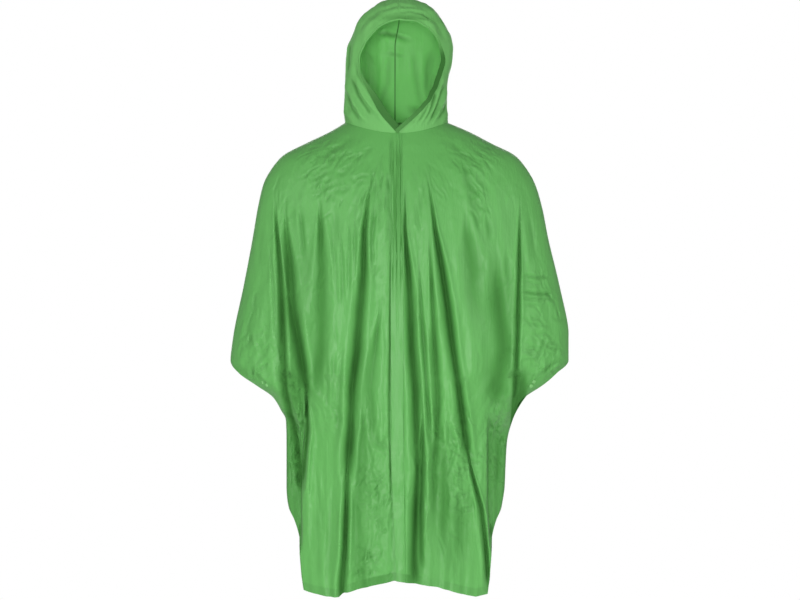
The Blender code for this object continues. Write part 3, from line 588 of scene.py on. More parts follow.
backFolds = (
    (((-0.03, -0.12), (-0.036, -0.3), (-0.047, -0.5), (-0.058, -0.74), (-0.066, -0.99)), 0.018, 0.012, 0.01,
     0.2, 0, 0.004),
    (((-0.098, -0.08), (-0.11, -0.25), (-0.124, -0.47), (-0.134, -0.7), (-0.148, -0.99)), 0.022, 0.01,
     0.013, 0.2, 0, 0.005),
    (((-0.174, -0.17), (-0.182, -0.4), (-0.19, -0.6), (-0.204, -0.88)), 0.014, 0.014, 0.012, 0.16, 0.16,
     0.003),
    (((-0.264, -0.13), (-0.256, -0.38), (-0.24, -0.6), (-0.228, -0.76)), 0.022, 0.01, 0.009, 0.12, 0.12,
     0.003),
    (((0.04, -0.16), (0.047, -0.36), (0.054, -0.6), (0.06, -0.99)), 0.014, 0.013, 0.01, 0.24, 0, 0.003),
    (((0.088, -0.07), (0.1, -0.25), (0.114, -0.48), (0.127, -0.72), (0.14, -0.99)), 0.022, 0.01, 0.012, 0.2,
     0, 0.005),
    (((0.168, -0.2), (0.176, -0.42), (0.184, -0.64), (0.191, -0.88)), 0.012, 0.014, 0.016, 0.16, 0.16,
     0.002),
    (((0.262, -0.13), (0.253, -0.38), (0.242, -0.6), (0.214, -0.76)), 0.022, 0.009, 0.01, 0.12, 0.12,
     0.003),
    (((-0.07, -0.36), (-0.082, -0.55), (-0.094, -0.78)), 0.006, 0.01, 0.009, 0.12, 0.14, 0.002),
    (((0.006, -0.4), (0.01, -0.62), (0.004, -0.86)), 0.005, 0.011, 0.012, 0.12, 0.12, 0.001),
    (((0.222, -0.22), (0.214, -0.4), (0.208, -0.56)), 0.006, 0.012, 0.01, 0.1, 0.12, 0.002),
    (((-0.222, -0.24), (-0.214, -0.44), (-0.214, -0.6)), 0.006, 0.01, 0.012, 0.1, 0.12, 0.002),
    (((-0.06, -0.03), (-0.11, -0.06), (-0.17, -0.11)), 0.002, 0.008, 0.007, 0.03, 0.04, 0.001),
    (((0.066, -0.02), (0.12, -0.05), (0.176, -0.1)), 0.0022, 0.007, 0.008, 0.03, 0.04, 0.001),
    (((0.27, -0.3), (0.33, -0.306)), 0.001, 0.0018, 0.0018, 0.01, 0.01, 0.0004),
    (((-0.322, -0.35), (-0.262, -0.346)), 0.001, 0.0018, 0.0018, 0.01, 0.01, 0.0004),
    (((-0.02, -0.7), (0.02, -0.72), (0.034, -0.76)), 0.002, 0.005, 0.004, 0.02, 0.02, 0.001),
    (((-0.118, -0.6), (-0.1, -0.66), (-0.112, -0.72)), 0.0024, 0.005, 0.005, 0.02, 0.02, 0.001),
)
# Broad patches of painted shade where the film sags away: centre, reach and how much it darkens.
frontShades = (
    (-0.076, -0.6, 0.02, 0.12, 0.34),
    (-0.052, -0.8, 0.04, 0.13, 0.26),
    (0.062, -0.86, 0.045, 0.13, 0.3),
    (0.104, -0.86, 0.05, 0.09, 0.3),
    (0.186, -0.34, 0.045, 0.15, 0.2),
    (-0.205, -0.33, 0.034, 0.14, 0.3),
    (-0.215, -0.56, 0.03, 0.09, 0.4),
    (0.212, -0.7, 0.03, 0.15, 0.34),
    (-0.16, -0.5, 0.03, 0.07, 0.18),
)
backShades = (
    (-0.09, -0.42, 0.04, 0.16, 0.22),
    (0.07, -0.66, 0.04, 0.18, 0.26),
    (0.19, -0.38, 0.04, 0.14, 0.24),
    (-0.18, -0.72, 0.04, 0.12, 0.24),
)
# Where short sharp creases gather: centre, reach, mean lean and its spread, how many there are,
# their usual length and their depth.
frontCreaseZones = (
    (-0.13, -0.062, 0.055, 0.03, 0.52, 0.22, 26, 0.05, 0.002),
    (-0.15, -0.125, 0.045, 0.04, 1.15, 0.5, 30, 0.034, 0.0022),
    (-0.245, -0.15, 0.02, 0.05, 1.35, 0.25, 9, 0.05, 0.0014),
    (0.15, -0.058, 0.045, 0.028, -0.5, 0.25, 24, 0.036, 0.0016),
    (0.166, -0.15, 0.018, 0.05, -1.2, 0.35, 20, 0.04, 0.0025),
    (0.3, -0.45, 0.038, 0.05, -0.7, 0.6, 34, 0.04, 0.0026),
    (0.225, -0.42, 0.035, 0.045, 0.8, 0.25, 9, 0.06, 0.0012),
    (-0.31, -0.45, 0.03, 0.06, 1.1, 0.3, 14, 0.05, 0.0018),
    (0.128, -0.7, 0.03, 0.075, -0.35, 0.45, 40, 0.036, 0.0024),
    (0.132, -0.785, 0.024, 0.026, 0.0, 0.15, 16, 0.03, 0.0022),
    (-0.045, -0.77, 0.026, 0.062, 0.5, 0.8, 46, 0.034, 0.0026),
    (-0.06, -0.91, 0.03, 0.03, 0.9, 0.5, 18, 0.03, 0.0026),
    (-0.214, -0.65, 0.014, 0.08, 1.45, 0.35, 18, 0.04, 0.0028),
    (0.204, -0.66, 0.018, 0.085, -1.0, 0.45, 26, 0.04, 0.0026),
    (0.05, -0.76, 0.034, 0.1, 1.5, 0.2, 22, 0.07, 0.0015),
    (-0.035, -0.17, 0.016, 0.07, 1.55, 0.08, 14, 0.08, 0.0016),
    (-0.075, -0.13, 0.024, 0.05, 1.25, 0.1, 14, 0.07, 0.0014),
    (0.038, -0.16, 0.016, 0.06, -1.45, 0.08, 14, 0.08, 0.0015),
    (0.08, -0.12, 0.022, 0.04, -1.15, 0.12, 12, 0.06, 0.0013),
    (-0.152, -0.33, 0.04, 0.1, 1.3, 0.35, 16, 0.05, 0.0013),
    (-0.048, -0.33, 0.022, 0.08, 1.2, 0.4, 12, 0.04, 0.0012),
    (0.02, -0.48, 0.16, 0.3, 1.55, 0.16, 34, 0.09, 0.0012),
    (-0.15, -0.82, 0.04, 0.1, 1.5, 0.12, 10, 0.08, 0.0009),
)
backCreaseZones = (
    (-0.13, -0.055, 0.06, 0.035, 0.5, 0.25, 24, 0.045, 0.0015),
    (0.135, -0.05, 0.06, 0.035, -0.52, 0.25, 22, 0.045, 0.0015),
    (-0.17, -0.14, 0.04, 0.05, 1.2, 0.4, 16, 0.04, 0.0013),
    (0.175, -0.15, 0.04, 0.05, -1.2, 0.4, 16, 0.04, 0.0013),
    (0.0, -0.5, 0.2, 0.3, 1.55, 0.14, 60, 0.09, 0.0012),
    (-0.06, -0.76, 0.05, 0.07, 0.3, 0.8, 26, 0.034, 0.0016),
    (0.09, -0.68, 0.04, 0.08, -0.4, 0.7, 24, 0.034, 0.0015),
    (-0.3, -0.44, 0.04, 0.06, 0.9, 0.5, 14, 0.045, 0.0013),
    (0.3, -0.44, 0.04, 0.06, -0.8, 0.5, 14, 0.045, 0.0013),
    (-0.205, -0.65, 0.02, 0.08, 1.4, 0.3, 12, 0.04, 0.0014),
    (0.2, -0.66, 0.02, 0.08, -1.3, 0.3, 12, 0.04, 0.0014),
)
frontShort, backShort = shortCreases(frontCreaseZones, 41), shortCreases(backCreaseZones, 42)
placketShape = {
    "edges": (  # height, and x of its right and left edges
        (0.01, -0.0145, 0.005),
        (-0.16, -0.016, 0.0068),
        (-0.4, -0.0172, 0.0088),
        (-0.7, -0.016, 0.0095),
        (-0.86, -0.0085, 0.0128),
        (-0.96, -0.005, 0.0145),
    ),
    "lift": 0.0016,
    "underlap": 0.003,
    "clearOf": -0.0135,  # the folds of the right front end here
    "pleats": (0.16, 0.50, 0.84),  # three fine pleats gathered below the throat
    "pleatDepth": 0.0018,
    "pleatTone": 1.25,
    "stripeDepth": 0.0016,
    "middleCrease": 0.0012,
    "roll": 0.001,
    "tone": 0.1,
    "rightFrontTo": 0.006,  # x to which the right front runs on under the placket
}
turned = {  # what is folded in and welded down: widths, and the puckers along the welds
    "hem": 0.018,
    "cuff": 0.023,
    "tone": 0.28,
    "groove": 0.0006,
    "grooveWidth": 0.0012,
    "hemPucker": 0.0008,
    "hemPuckerReach": 0.006,
    "cuffPucker": 0.0009,
    "cuffPuckerReach": 0.007,
    "rumples": ((-0.055, 0.052), (0.028, 0.022)),  # where the front hem is rumpled and painted with shade: x and reach
    "rumpleShade": 0.75,
}
bodyDetail = {
    "frontShift": 0.0035,  # the folds of the front hang this far to the left of their tables
    "neckShadeTone": 0.17,  # painted shade, darker round the neck
    "neckShadeReach": 0.35,
    "neckShadeFade": 0.22,
    "cuffInside": (0.2365, 0.280, -0.485),  # x from, x to and top of what shows inside the left cuff, which is painted with shade
    "cuffInsideShade": 1.25,
    "neckRows": 1.2,  # folds die out over this many rows at the neck
    "seamShare": 0.16,  # and over this share of the quarter turn at the side seam
}


def lastAngle(face, row):  # where the quarter turn from the middle to the side stops, at an open cuff
    return np.arccos(sectionValue(body, "mouth", row) / sectionValue(body, face + "Y", row))


def basePoint(face, side, angle, row):
    half = halfWidth(body, side, row)
    if face == "front" and side > 0:  # the front of the left cuff is pulled in, so the inside shows
        tuck = body["leftCuffTuck"]
        above = ease((tuck["end"] - row) / tuck["fade"])
        half = half * (1 - tuck["share"] * hump(row, tuck["row"], tuck["rows"]) * above)
    depth = sectionValue(body, face + "Y", row)
    middle = sectionValue(body, face + "Z", row)
    last = lastAngle(face, row)
    share = np.sin(angle * last) / np.sin(last)
    facing = -1 if face == "front" else 1
    x = side * half * share
    y = facing * (depth * np.abs(np.cos(angle * last)) ** planFlatness + seamGap / 2)
    hemStart, hemEnd = body["hemShape"]
    shown = np.clip((middle - hemStart) / (hemEnd - hemStart), 0, 1)
    climb = np.clip(share, 0, 1) ** sectionValue(body, "rise", row) * (1 - shown)
    climb = climb + shown * readAlong(body["hemClimb"], share)
    z = middle + (sectionValue(body, "sideZ", row) - middle) * climb
    if face == "front":
        z = z - readAlong(body["hemDrop"], x) * shown * (1 - climb)
    return np.stack([x, y, z], axis=-1)


def outwardOf(pointAt, u, v, turn, lastV):
    step = 2e-3
    across = pointAt(np.minimum(u + step, 1), v) - pointAt(u - step, v)
    inner = np.minimum(u, 0.999)
    down = pointAt(inner, np.minimum(v + step, lastV)) - pointAt(inner, np.maximum(v - step, 0))
    out = turn * np.cross(across, down)
    return out / np.linalg.norm(out, axis=-1, keepdims=True)


def cuffDistance(side, x, z):  # distance from the cuff's edge, and how far along it
    rows = np.linspace(body["cuffTop"], body["cuffFoot"], 40)
    lineX, lineZ = side * halfWidth(body, side, rows), sectionValue(body, "sideZ", rows)
    away = np.hypot(x[:, None] - lineX, z[:, None] - lineZ)
    nearest = away.argmin(axis=1)
    return away[np.arange(len(x)), nearest], nearest / (len(rows) - 1)


def weld(distance, width, pucker, reach):  # how far the film moves along a weld at that distance
    dip = turned["groove"] * hump(distance, width, turned["grooveWidth"])
    return pucker * hump(distance, width, reach) - dip


def frontOnly(side, points, move, shadeAndDouble):  # tucked sides and placed creases, both with painted shade, and where the placket lies
    x, z = points[:, 0], points[:, 2]
    beyond = side * (x - readDown(tuckedSides[side], z))
    low = ease((tuckedSides["from"] - z) / (tuckedSides["from"] - tuckedSides["full"]))
    low = low * ease((z - tuckedSides["foot"]) / 0.05)
    tuck = ease(beyond / tuckedSides["edge"]) * low
    points[:, 1] *= 1 - tuckedSides["depth"] * tuck
    # painted shade where the side tucks back, and in the placed creases
    shadeAndDouble = np.maximum(shadeAndDouble, tuckedSides["tone"] * tuck)
    creased, alsoShaded = troughs(frontCreases, x, z)
    shadeAndDouble = np.maximum(shadeAndDouble, foldShape["creaseTone"] * alsoShaded)
    edgeX, edgeReach, edgeCrown = tuckedSides["crown"]
    move = move + creased + edgeCrown * low * hump(beyond, edgeX, edgeReach)
    if side > 0:
        clear = ease((x - readDown(placketShape["edges"], z, 2) + 0.002) / 0.004)
    else:
        clear = ease((placketShape["clearOf"] - x) / 0.003)
    return move, shadeAndDouble, clear


def bodySurface(face, side):
    front = face == "front"
    facing = -1 if front else 1
    folds, shades, short = ((frontFolds, frontShades, frontShort) if front
                            else (backFolds, backShades, backShort))

    def pointAt(angle, row):
        return basePoint(face, side, angle, row)

    def surface(angle, row):
        points = pointAt(angle, row)
        out = outwardOf(pointAt, angle, row, side * facing, body["hem"])
        x, z = points[:, 0], points[:, 2]
        across = x / halfWidth(body, side, row) * 0.3  # metres from the middle on a body of even width
        move, shadeAndDouble = troughs(folds, x - bodyDetail["frontShift"] if front else x, z)
        # painted shade in broad patches and in short creases, on top of the folds' own
        shadeAndDouble = shadeAndDouble + shaded(shades, x, z) * np.exp(-shadeAndDouble)
        small, alsoShaded = troughs(short, x, z)
        move, shadeAndDouble = move + small, np.maximum(shadeAndDouble, foldShape["shortTone"] * alsoShaded)
        if front:
            move, shadeAndDouble, clear = frontOnly(side, points, move, shadeAndDouble)
            move = (move + rippled(x, z, side * across)) * clear
            shadeAndDouble = shadeAndDouble * clear
            if side < 0:
                move -= placketShape["underlap"] * ease((x + 0.024) / 0.008)
        else:
            move = move + rippled(x + 0.7, z + 0.3, across)
        move *= ease((1 - angle) / bodyDetail["seamShare"]) * ease(row / bodyDetail["neckRows"])
        shadeAndDouble *= ease((1 - angle) / 0.03)

        distance, along = cuffDistance(side, x, z)
        atCuff = ease((row - body["cuffTop"]) / 0.8) * ease((body["cuffFoot"] + 0.3 - row) / 0.6)
        pucker = turned["cuffPucker"] * softNoise(along * 34 + 5 * side, distance / 0.006, 21)
        move += weld(distance, turned["cuff"], pucker, turned["cuffPuckerReach"]) * atCuff
        fromHem = (body["hem"] - row) * turned["hem"]
        pucker = turned["hemPucker"] * softNoise(x / 0.012, fromHem / 0.006, 22)
        move += weld(fromHem, turned["hem"], pucker, turned["hemPuckerReach"])

        # painted shade round the neck
        fromNeck = np.hypot(x, 0.8 * (z - 0.02))
        neckShade = ease((bodyDetail["neckShadeReach"] - fromNeck) / bodyDetail["neckShadeFade"])
        neckShade = bodyDetail["neckShadeTone"] * neckShade
        shadeAndDouble = neckShade + shadeAndDouble * (1 - neckShade)
        # painted shade inside the left cuff
        if front and side > 0:
            first, last, top = bodyDetail["cuffInside"]
            under = ease((x - first) / 0.002) * ease((last - x) / 0.020) * ease((top - z) / 0.05)
            shadeAndDouble = np.maximum(shadeAndDouble, bodyDetail["cuffInsideShade"] * under)
        onHem = fromHem < turned["hem"]
        onCuff = ease((turned["cuff"] + 0.001 - distance) / 0.002) * atCuff
        layersAndShade = turned["tone"] * np.maximum(onCuff, onHem)
        if front:
            # painted shade along the rumpled parts of the front hem
            rumpleShaded = sum(np.exp(-(((x - middle) / reach) ** 4)) for middle, reach in turned["rumples"])
            layersAndShade = np.maximum(layersAndShade, turned["rumpleShade"] * rumpleShaded * onHem)
        points[:, 1] += facing * move
        return points, out, np.maximum(layersAndShade, shadeAndDouble)

    return surface


def edgeShare(side, x, row):  # the share of the quarter turn at which a front lies over a given x
    last = lastAngle("front", row)
    return np.arcsin(side * x / halfWidth(body, side, row) * np.sin(last)) / last


def frontSurface(side):  # a front from its centre edge, under or beside the placket, to the side seam
    plain = bodySurface("front", side)

    def surface(share, row):
        placketEdge = readDown(placketShape["edges"], sectionValue(body, "frontZ", row))
        rightFrontEdge = np.full_like(row, placketShape["rightFrontTo"])
        edge = placketEdge + 2 * seamGap if side > 0 else rightFrontEdge
        start = edgeShare(side, edge, row)
        return plain(start + (1 - start) * share, row)

    return surface


def wholeBack(share, row):  # both halves in one, the right at shares under 0
    halves = bodySurface("back", -1)(np.abs(share), row), bodySurface("back", 1)(np.abs(share), row)
    onRight = share < 0
    return tuple(np.where(onRight[:, None] if right.ndim == 2 else onRight, right, left)
                 for right, left in zip(*halves))


bodyRows = evenRows(body, "frontZ", 0.0034 * coarse)
frontColumns = evenAngles(int(168 / coarse), planRatio)
frontRight = filmPiece("frontRight", frontColumns, bodyRows, frontSurface(-1), film)
frontLeft = filmPiece("frontLeft", frontColumns, bodyRows, frontSurface(1), film)
backColumns = evenAngles(int(104 / coarse), planRatio)
back = filmPiece("backPanel", np.concatenate([-backColumns[:0:-1], backColumns]),
                 evenRows(body, "backZ", 0.0046 * coarse), wholeBack, film)
print("panels made")


def placketSurface(share, row):
    z = sectionValue(body, "frontZ", row)
    rightX, leftX = (readDown(placketShape["edges"], z, column) for column in (1, 2))
    x = rightX + (leftX - rightX) * share
    points, out, layersAndShade = bodySurface("front", 1)(edgeShare(1, x, row), row)
    stripes = np.abs(softNoise(share * 4.2 + 0.4, z / 0.16, 32))  # drawn together on the chest
    upper = ease((z + 0.42) / 0.24) * ease((-0.02 - z) / 0.05)
    # painted shade along the stripes and pleats; the placket's own tone is its second layer of film
    dim = placketShape["tone"] + 0.8 * upper * (0.30 + 0.9 * stripes)
    crease = -placketShape["middleCrease"] * hump(share, 0.52, 0.08) * ease((z + 0.50) / 0.15)
    crease = crease - placketShape["stripeDepth"] * stripes * ease((z + 0.36) / 0.12)
    for middle in placketShape["pleats"]:
        sway = middle + 0.05 * softNoise(z / 0.06 + 9 * middle, share * 0, 33)
        pleat = hump(share, sway, 0.055) * ease((z + 0.40) / 0.14) * ease((-0.01 - z) / 0.04)
        crease = crease - placketShape["pleatDepth"] * pleat
        dim = np.maximum(dim, placketShape["pleatTone"] * pleat)
    roll = placketShape["roll"] * np.sin(np.pi * share) + 0.0005 * softNoise(z / 0.03, share * 2, 31)
    points = points + out * (crease + roll)[:, None]
    return points, out, np.maximum(np.minimum(layersAndShade, 0.5), dim)


placket = filmPiece("placketStrip", np.linspace(0, 1, 31), bodyRows, placketSurface, film,
                    lift=placketShape["lift"])


def hemStrip(name, across, surface, rows):  # a second layer just inside the panel
    return filmPiece(name, across, rows, surface, turnedFilm, lift=-filmGauge - 0.0005)


def cuffStrip(face, side):
    plain = bodySurface(face, side)

    def surface(share, row):  # share 0 is the cuff's edge and 1 the weld line
        last = lastAngle(face, row)
        depth = sectionValue(body, face + "Y", row)
        reach = turned["cuff"] / np.hypot(halfWidth(body, side, row) * np.cos(0.8 * last), depth * 0.9) / last
        return plain(1 - reach * share, row)

    return surface


hemRows = np.linspace(body["hemTop"], body["hem"], 7)
hemFrontRight = hemStrip("hemFrontRight", frontColumns[10:-3], frontSurface(-1), hemRows)
hemFrontLeft = hemStrip("hemFrontLeft", frontColumns[14:-3], frontSurface(1), hemRows)
hemBack = hemStrip("hemBack", np.concatenate([-backColumns[-3:0:-1], backColumns[:-2]]), wholeBack, hemRows)
cuffRows = evenRows(body, "sideZ", 0.004, body["cuffTop"] + 0.5, body["cuffFoot"] - 0.5)
cuffFrontRight, cuffBackRight, cuffFrontLeft, cuffBackLeft = (
    hemStrip(name, np.linspace(0, 1, 8), cuffStrip(face, side), cuffRows)
    for face, side, name in (("front", -1, "cuffFrontRight"), ("back", -1, "cuffBackRight"),
                             ("front", 1, "cuffFrontLeft"), ("back", 1, "cuffBackLeft")))
print("hems made")

# Hood sections from neck to crown: height, how much of the neck line's slope they take, half widths,
# depths to the front and back, and x of the rim of the face opening on each side.
hood = {
    "columns": ("z", "neckShare", "right", "left", "frontY", "backY", "rimRight", "rimLeft"),
    "sections": (
        (0.021, 1.0, 0.116, 0.105, 0.0922, 0.0802, -0.0045, -0.0035),
        (0.036, 0.45, 0.117, 0.105, 0.094, 0.09, -0.033, 0.033),
        (0.06, 0.18, 0.116, 0.103, 0.096, 0.1, -0.055, 0.062),
        (0.09, 0.0, 0.115, 0.103, 0.098, 0.11, -0.073, 0.083),
        (0.12, 0.0, 0.114, 0.106, 0.099, 0.118, -0.086, 0.093),
        (0.15, 0.0, 0.1135, 0.1125, 0.1, 0.122, -0.088, 0.099),
        (0.18, 0.0, 0.112, 0.115, 0.1, 0.122, -0.075, 0.09),
        (0.205, 0.0, 0.103, 0.111, 0.099, 0.116, -0.056, 0.072),
        (0.22, 0.0, 0.096, 0.104, 0.097, 0.11, -0.037, 0.054),
        (0.229, 0.0, 0.0915, 0.099, 0.096, 0.105, -0.017, 0.036),
        (0.233, 0.0, 0.089, 0.0965, 0.0955, 0.102, 0.0, 0.0),
        (0.25, 0.0, 0.075, 0.085, 0.088, 0.09, 0.0, 0.0),
        (0.265, 0.0, 0.058, 0.068, 0.074, 0.074, 0.0, 0.0),
        (0.277, 0.0, 0.042, 0.05, 0.056, 0.058, 0.0, 0.0),
        (0.283, 0.0, 0.033, 0.036, 0.04, 0.044, 0.0, 0.0),
        (0.286, 0.0, 0.0002, 0.0002, 0.03, 0.034, 0.0, 0.0),
    ),
    "rimTop": 10,
    "seamLean": 0.009,  # the seam down the back of the hood hangs a little to the right
    "seamWidth": 0.0014,
    "seamTone": 1.6,
    # the outside of the hood is painted darker again, so only its inside keeps the painted light of the hood
    # film
    "outsideTone": 0.62,
    "brow": (0.01, 0.233, 0.05, 0.008),  # the shaded band over the face: x, z and reaches
    "browTone": 0.55,
    # painted shade in the hood's folds, front and back
    "foldTone": 3.4,
    "backFoldTone": 1.5,
    "hemAngle": 38,
    "hemWidth": {  # height and width of the turned hem, throat to brow
        -1: ((0.0, 0.019), (0.05, 0.02), (0.075, 0.016), (0.1, 0.009), (0.13, 0.004), (0.24, 0.003)),
        1: ((0.0, 0.011), (0.06, 0.012), (0.1, 0.013), (0.14, 0.013), (0.165, 0.01), (0.19, 0.004),
            (0.24, 0.003)),
    },
    "hemLayerAndShade": {  # height and darkness of that hem: a double layer of film, with painted shade where it turns in
        -1: ((0.0, 1.35), (0.06, 1.25), (0.1, 0.95), (0.14, 0.6), (0.24, 0.55)),
        1: ((0.0, 1.05), (0.08, 1.45), (0.16, 1.5), (0.19, 0.7), (0.24, 0.55)),
    },
    "hemFrom": 0.45,
    "crossing": {-1: 0.014, 1: 0.024},  # how far each hem runs on at the throat, the left over the right
}
hoodFolds = (
    (((-0.1, 0.15), (-0.091, 0.118), (-0.065, 0.074), (-0.04, 0.04), (-0.019, 0.014)), 0.004, 0.003, 0.0045,
     0.03, 0.01, 0.0018),
    (((-0.11, 0.13), (-0.088, 0.072), (-0.056, 0.024)), 0.0055, 0.005, 0.006, 0.04, 0.02, 0.0024),
    (((-0.114, 0.095), (-0.102, 0.048), (-0.08, 0.012)), 0.0045, 0.005, 0.006, 0.03, 0.02, 0.002),
    (((-0.112, 0.118), (-0.1, 0.078), (-0.078, 0.04), (-0.062, 0.014)), 0.003, 0.003, 0.003, 0.03, 0.02,
     0.0014),
    (((-0.105, 0.205), (-0.109, 0.16), (-0.11, 0.11)), 0.004, 0.005, 0.005, 0.03, 0.03, 0.0014),
    (((-0.112, 0.06), (-0.106, 0.036)), 0.003, 0.004, 0.004, 0.01, 0.01, 0.0012),
    (((0.104, 0.112), (0.085, 0.056), (0.064, 0.012)), 0.0052, 0.003, 0.0042, 0.03, 0.02, 0.0026),
    (((0.083, 0.09), (0.069, 0.05), (0.051, 0.01)), 0.0054, 0.003, 0.0038, 0.02, 0.02, 0.0026),
    (((0.066, 0.066), (0.055, 0.039), (0.038, 0.008)), 0.0046, 0.0026, 0.0036, 0.02, 0.02, 0.0022),
    (((0.107, 0.074), (0.098, 0.044), (0.08, 0.014)), 0.005, 0.0034, 0.0038, 0.02, 0.02, 0.0022),
    (((0.048, 0.046), (0.039, 0.026), (0.025, 0.006)), 0.0034, 0.0024, 0.0028, 0.01, 0.01, 0.0016),
    (((0.096, 0.12), (0.082, 0.082), (0.074, 0.066)), 0.0034, 0.0026, 0.003, 0.02, 0.02, 0.0014),
    (((0.04, 0.258), (0.08, 0.226), (0.104, 0.18)), 0.0034, 0.005, 0.006, 0.03, 0.03, 0.0016),
    (((-0.024, 0.262), (-0.066, 0.236), (-0.092, 0.2)), 0.0032, 0.005, 0.006, 0.03, 0.03, 0.0016),
    (((-0.05, 0.25), (0.0, 0.262), (0.046, 0.254)), 0.0024, 0.003, 0.004, 0.03, 0.03, 0.0012),
    (((-0.016, 0.245), (0.02, 0.25), (0.05, 0.244), (0.072, 0.226)), 0.0026, 0.003, 0.003, 0.02, 0.02,
     0.0012),
)
hoodBackFolds = (
    (((-0.056, 0.222), (-0.028, 0.231), (-0.004, 0.225), (0.036, 0.212)), 0.0065, 0.003, 0.005, 0.03, 0.04,
     0.002),
    (((-0.034, 0.19), (-0.004, 0.183), (0.02, 0.18)), 0.0034, 0.004, 0.004, 0.02, 0.02, 0.001),
    (((0.072, 0.2), (0.064, 0.14), (0.058, 0.08)), 0.0046, 0.012, 0.008, 0.04, 0.04, 0.001),
    (((-0.072, 0.205), (-0.066, 0.15), (-0.058, 0.09)), 0.0046, 0.009, 0.012, 0.04, 0.04, 0.001),
    (((-0.02, 0.2), (-0.026, 0.12), (-0.048, 0.05)), 0.0022, 0.007, 0.006, 0.05, 0.05, 0.0008),
    (((0.03, 0.21), (0.04, 0.12), (0.052, 0.05)), 0.0024, 0.007, 0.006, 0.05, 0.05, 0.0008),
    (((-0.02, 0.075), (-0.05, 0.05), (-0.084, 0.04)), 0.004, 0.008, 0.006, 0.03, 0.03, 0.0014),
    (((0.01, 0.07), (0.046, 0.052), (0.08, 0.036)), 0.0036, 0.006, 0.008, 0.03, 0.03, 0.0014),
    (((0.076, 0.16), (0.07, 0.1), (0.074, 0.05)), 0.003, 0.006, 0.006, 0.04, 0.04, 0.001),
    (((-0.08, 0.18), (-0.076, 0.11), (-0.078, 0.055)), 0.003, 0.006, 0.006, 0.04, 0.04, 0.001),
)


def hoodPoint(side, angle, row):  # angle 0 is the middle of the front and half a turn the back seam
    z = sectionValue(hood, "z", row)
    front = angle < np.pi / 2
    depth = np.where(front, -sectionValue(hood, "frontY", row), sectionValue(hood, "backY", row))
    neckMiddle = np.where(front, body["sections"][0][4], body["sections"][0][6])
    neckZ = (neckMiddle - hood["sections"][0][0]) * (1 - np.sin(angle) ** 2)
    behind = np.where(front, 0, 1 - np.sin(angle)) * ease((0.26 - z) / 0.06)
    x = side * halfWidth(hood, side, row) * np.sin(angle) - hood["seamLean"] * behind
    y = depth * np.abs(np.cos(angle)) ** planFlatness
    return np.stack([x, y, z + sectionValue(hood, "neckShare", row) * neckZ], axis=-1)


def rimAngle(side, row):
    rimX = sectionValue(hood, "rimRight" if side < 0 else "rimLeft", row)
    atRim = np.arcsin(np.clip(side * rimX / halfWidth(hood, side, row), -1, 1))
    return np.where(row >= hood["rimTop"], 0.0, atRim)


def hoodSurface(side):
    lastRow = len(hood["sections"]) - 1
    step = 1e-3

    def surface(share, row):
        first = rimAngle(side, row)
        angle = first + (np.pi - first) * share
        points = hoodPoint(side, angle, row)
        across = hoodPoint(side, angle + step, row) - hoodPoint(side, angle - step, row)
        below, above = np.maximum(row - step, 0), np.minimum(row + step, lastRow)
        out = side * np.cross(across, hoodPoint(side, angle, above) - hoodPoint(side, angle, below))
        onSeam = (share > 0.9999) | (row > lastRow - 0.01) | ((share < 0.0001) & (row >= hood["rimTop"]))
        out[onSeam, 0] = 0
        out /= np.maximum(np.linalg.norm(out, axis=1, keepdims=True), 1e-12)

        x, z = points[:, 0], points[:, 2]
        front = angle < np.pi / 2
        (ahead, aheadTone), (behind, behindTone) = troughs(hoodFolds, x, z), troughs(hoodBackFolds, x, z)
        atSide = ease(np.abs(angle - np.pi / 2) / 0.25)
        move = np.where(front, ahead, behind) * atSide
        shadeAndDouble = np.where(front, hood["foldTone"] * aheadTone, hood["backFoldTone"] * behindTone) * atSide
        move += rippled(x + 0.35, z - 0.5, x, 0.8) * ease((row - 0.2) / 1.5)
        seam = np.minimum((np.pi - angle), np.where(row >= hood["rimTop"], angle, 9)) * 0.11
        move *= ease(seam / 0.010) * ease((lastRow - row) / 1.2)
        move += 0.0006 * ease((0.25 - row) / 0.25)  # laps over the neck of the body

        inside = ease((angle - 1.3) / 0.4)
        welded = (seam < hood["seamWidth"]) & (angle > 1)
        # painted shade in the folds and over the brow, the outside darker so only the inside keeps the
        # painted light; the seam is a dark weld
        brow = hood["browTone"] * patch(x, z, *hood["brow"])
        layersAndShade = np.maximum(np.where(welded, hood["seamTone"], 0.0), shadeAndDouble)
        layersAndShade = np.maximum(layersAndShade, (hood["outsideTone"] + brow) * (1 - inside))
        return points + out * move[:, None], out, layersAndShade

    return surface


def hoodHemSurface(side):
    plain = hoodSurface(side)
    lean = math.radians(hood["hemAngle"])

    def surface(share, row):
        held = np.maximum(row, hood["hemFrom"])  # below this the hem runs on straight, over the other one
        rim, out, _ = plain(np.zeros_like(row), held)
        after = plain(np.zeros_like(row), np.minimum(held + 0.15, hood["rimTop"] - 0.001))[0]
        before = plain(np.zeros_like(row), np.maximum(held - 0.15, 0))[0]
        along = after - before
        along[:, 1] = 0
        along /= np.maximum(np.linalg.norm(along, axis=1, keepdims=True), 1e-9)
        inwards = np.stack([-side * along[:, 2], 0 * row, side * along[:, 0]], axis=1)
        acrossWay = math.cos(lean) * inwards + math.sin(lean) * np.array([0, 1.0, 0])
        width = readAlong(hood["hemWidth"][side], rim[:, 2])
        points = rim - out * 0.0010 + acrossWay * (seamGap + share * width)[:, None]
        points += along * ((row - held) / hood["hemFrom"] * hood["crossing"][side])[:, None]
        if side > 0:  # the left hem lies over the right one
            points[:, 1] -= 0.0045 * ease((1.6 - row) / 1.2)
        return points, np.cross(along, acrossWay) * side, readAlong(hood["hemLayerAndShade"][side], rim[:, 2])

    return surface


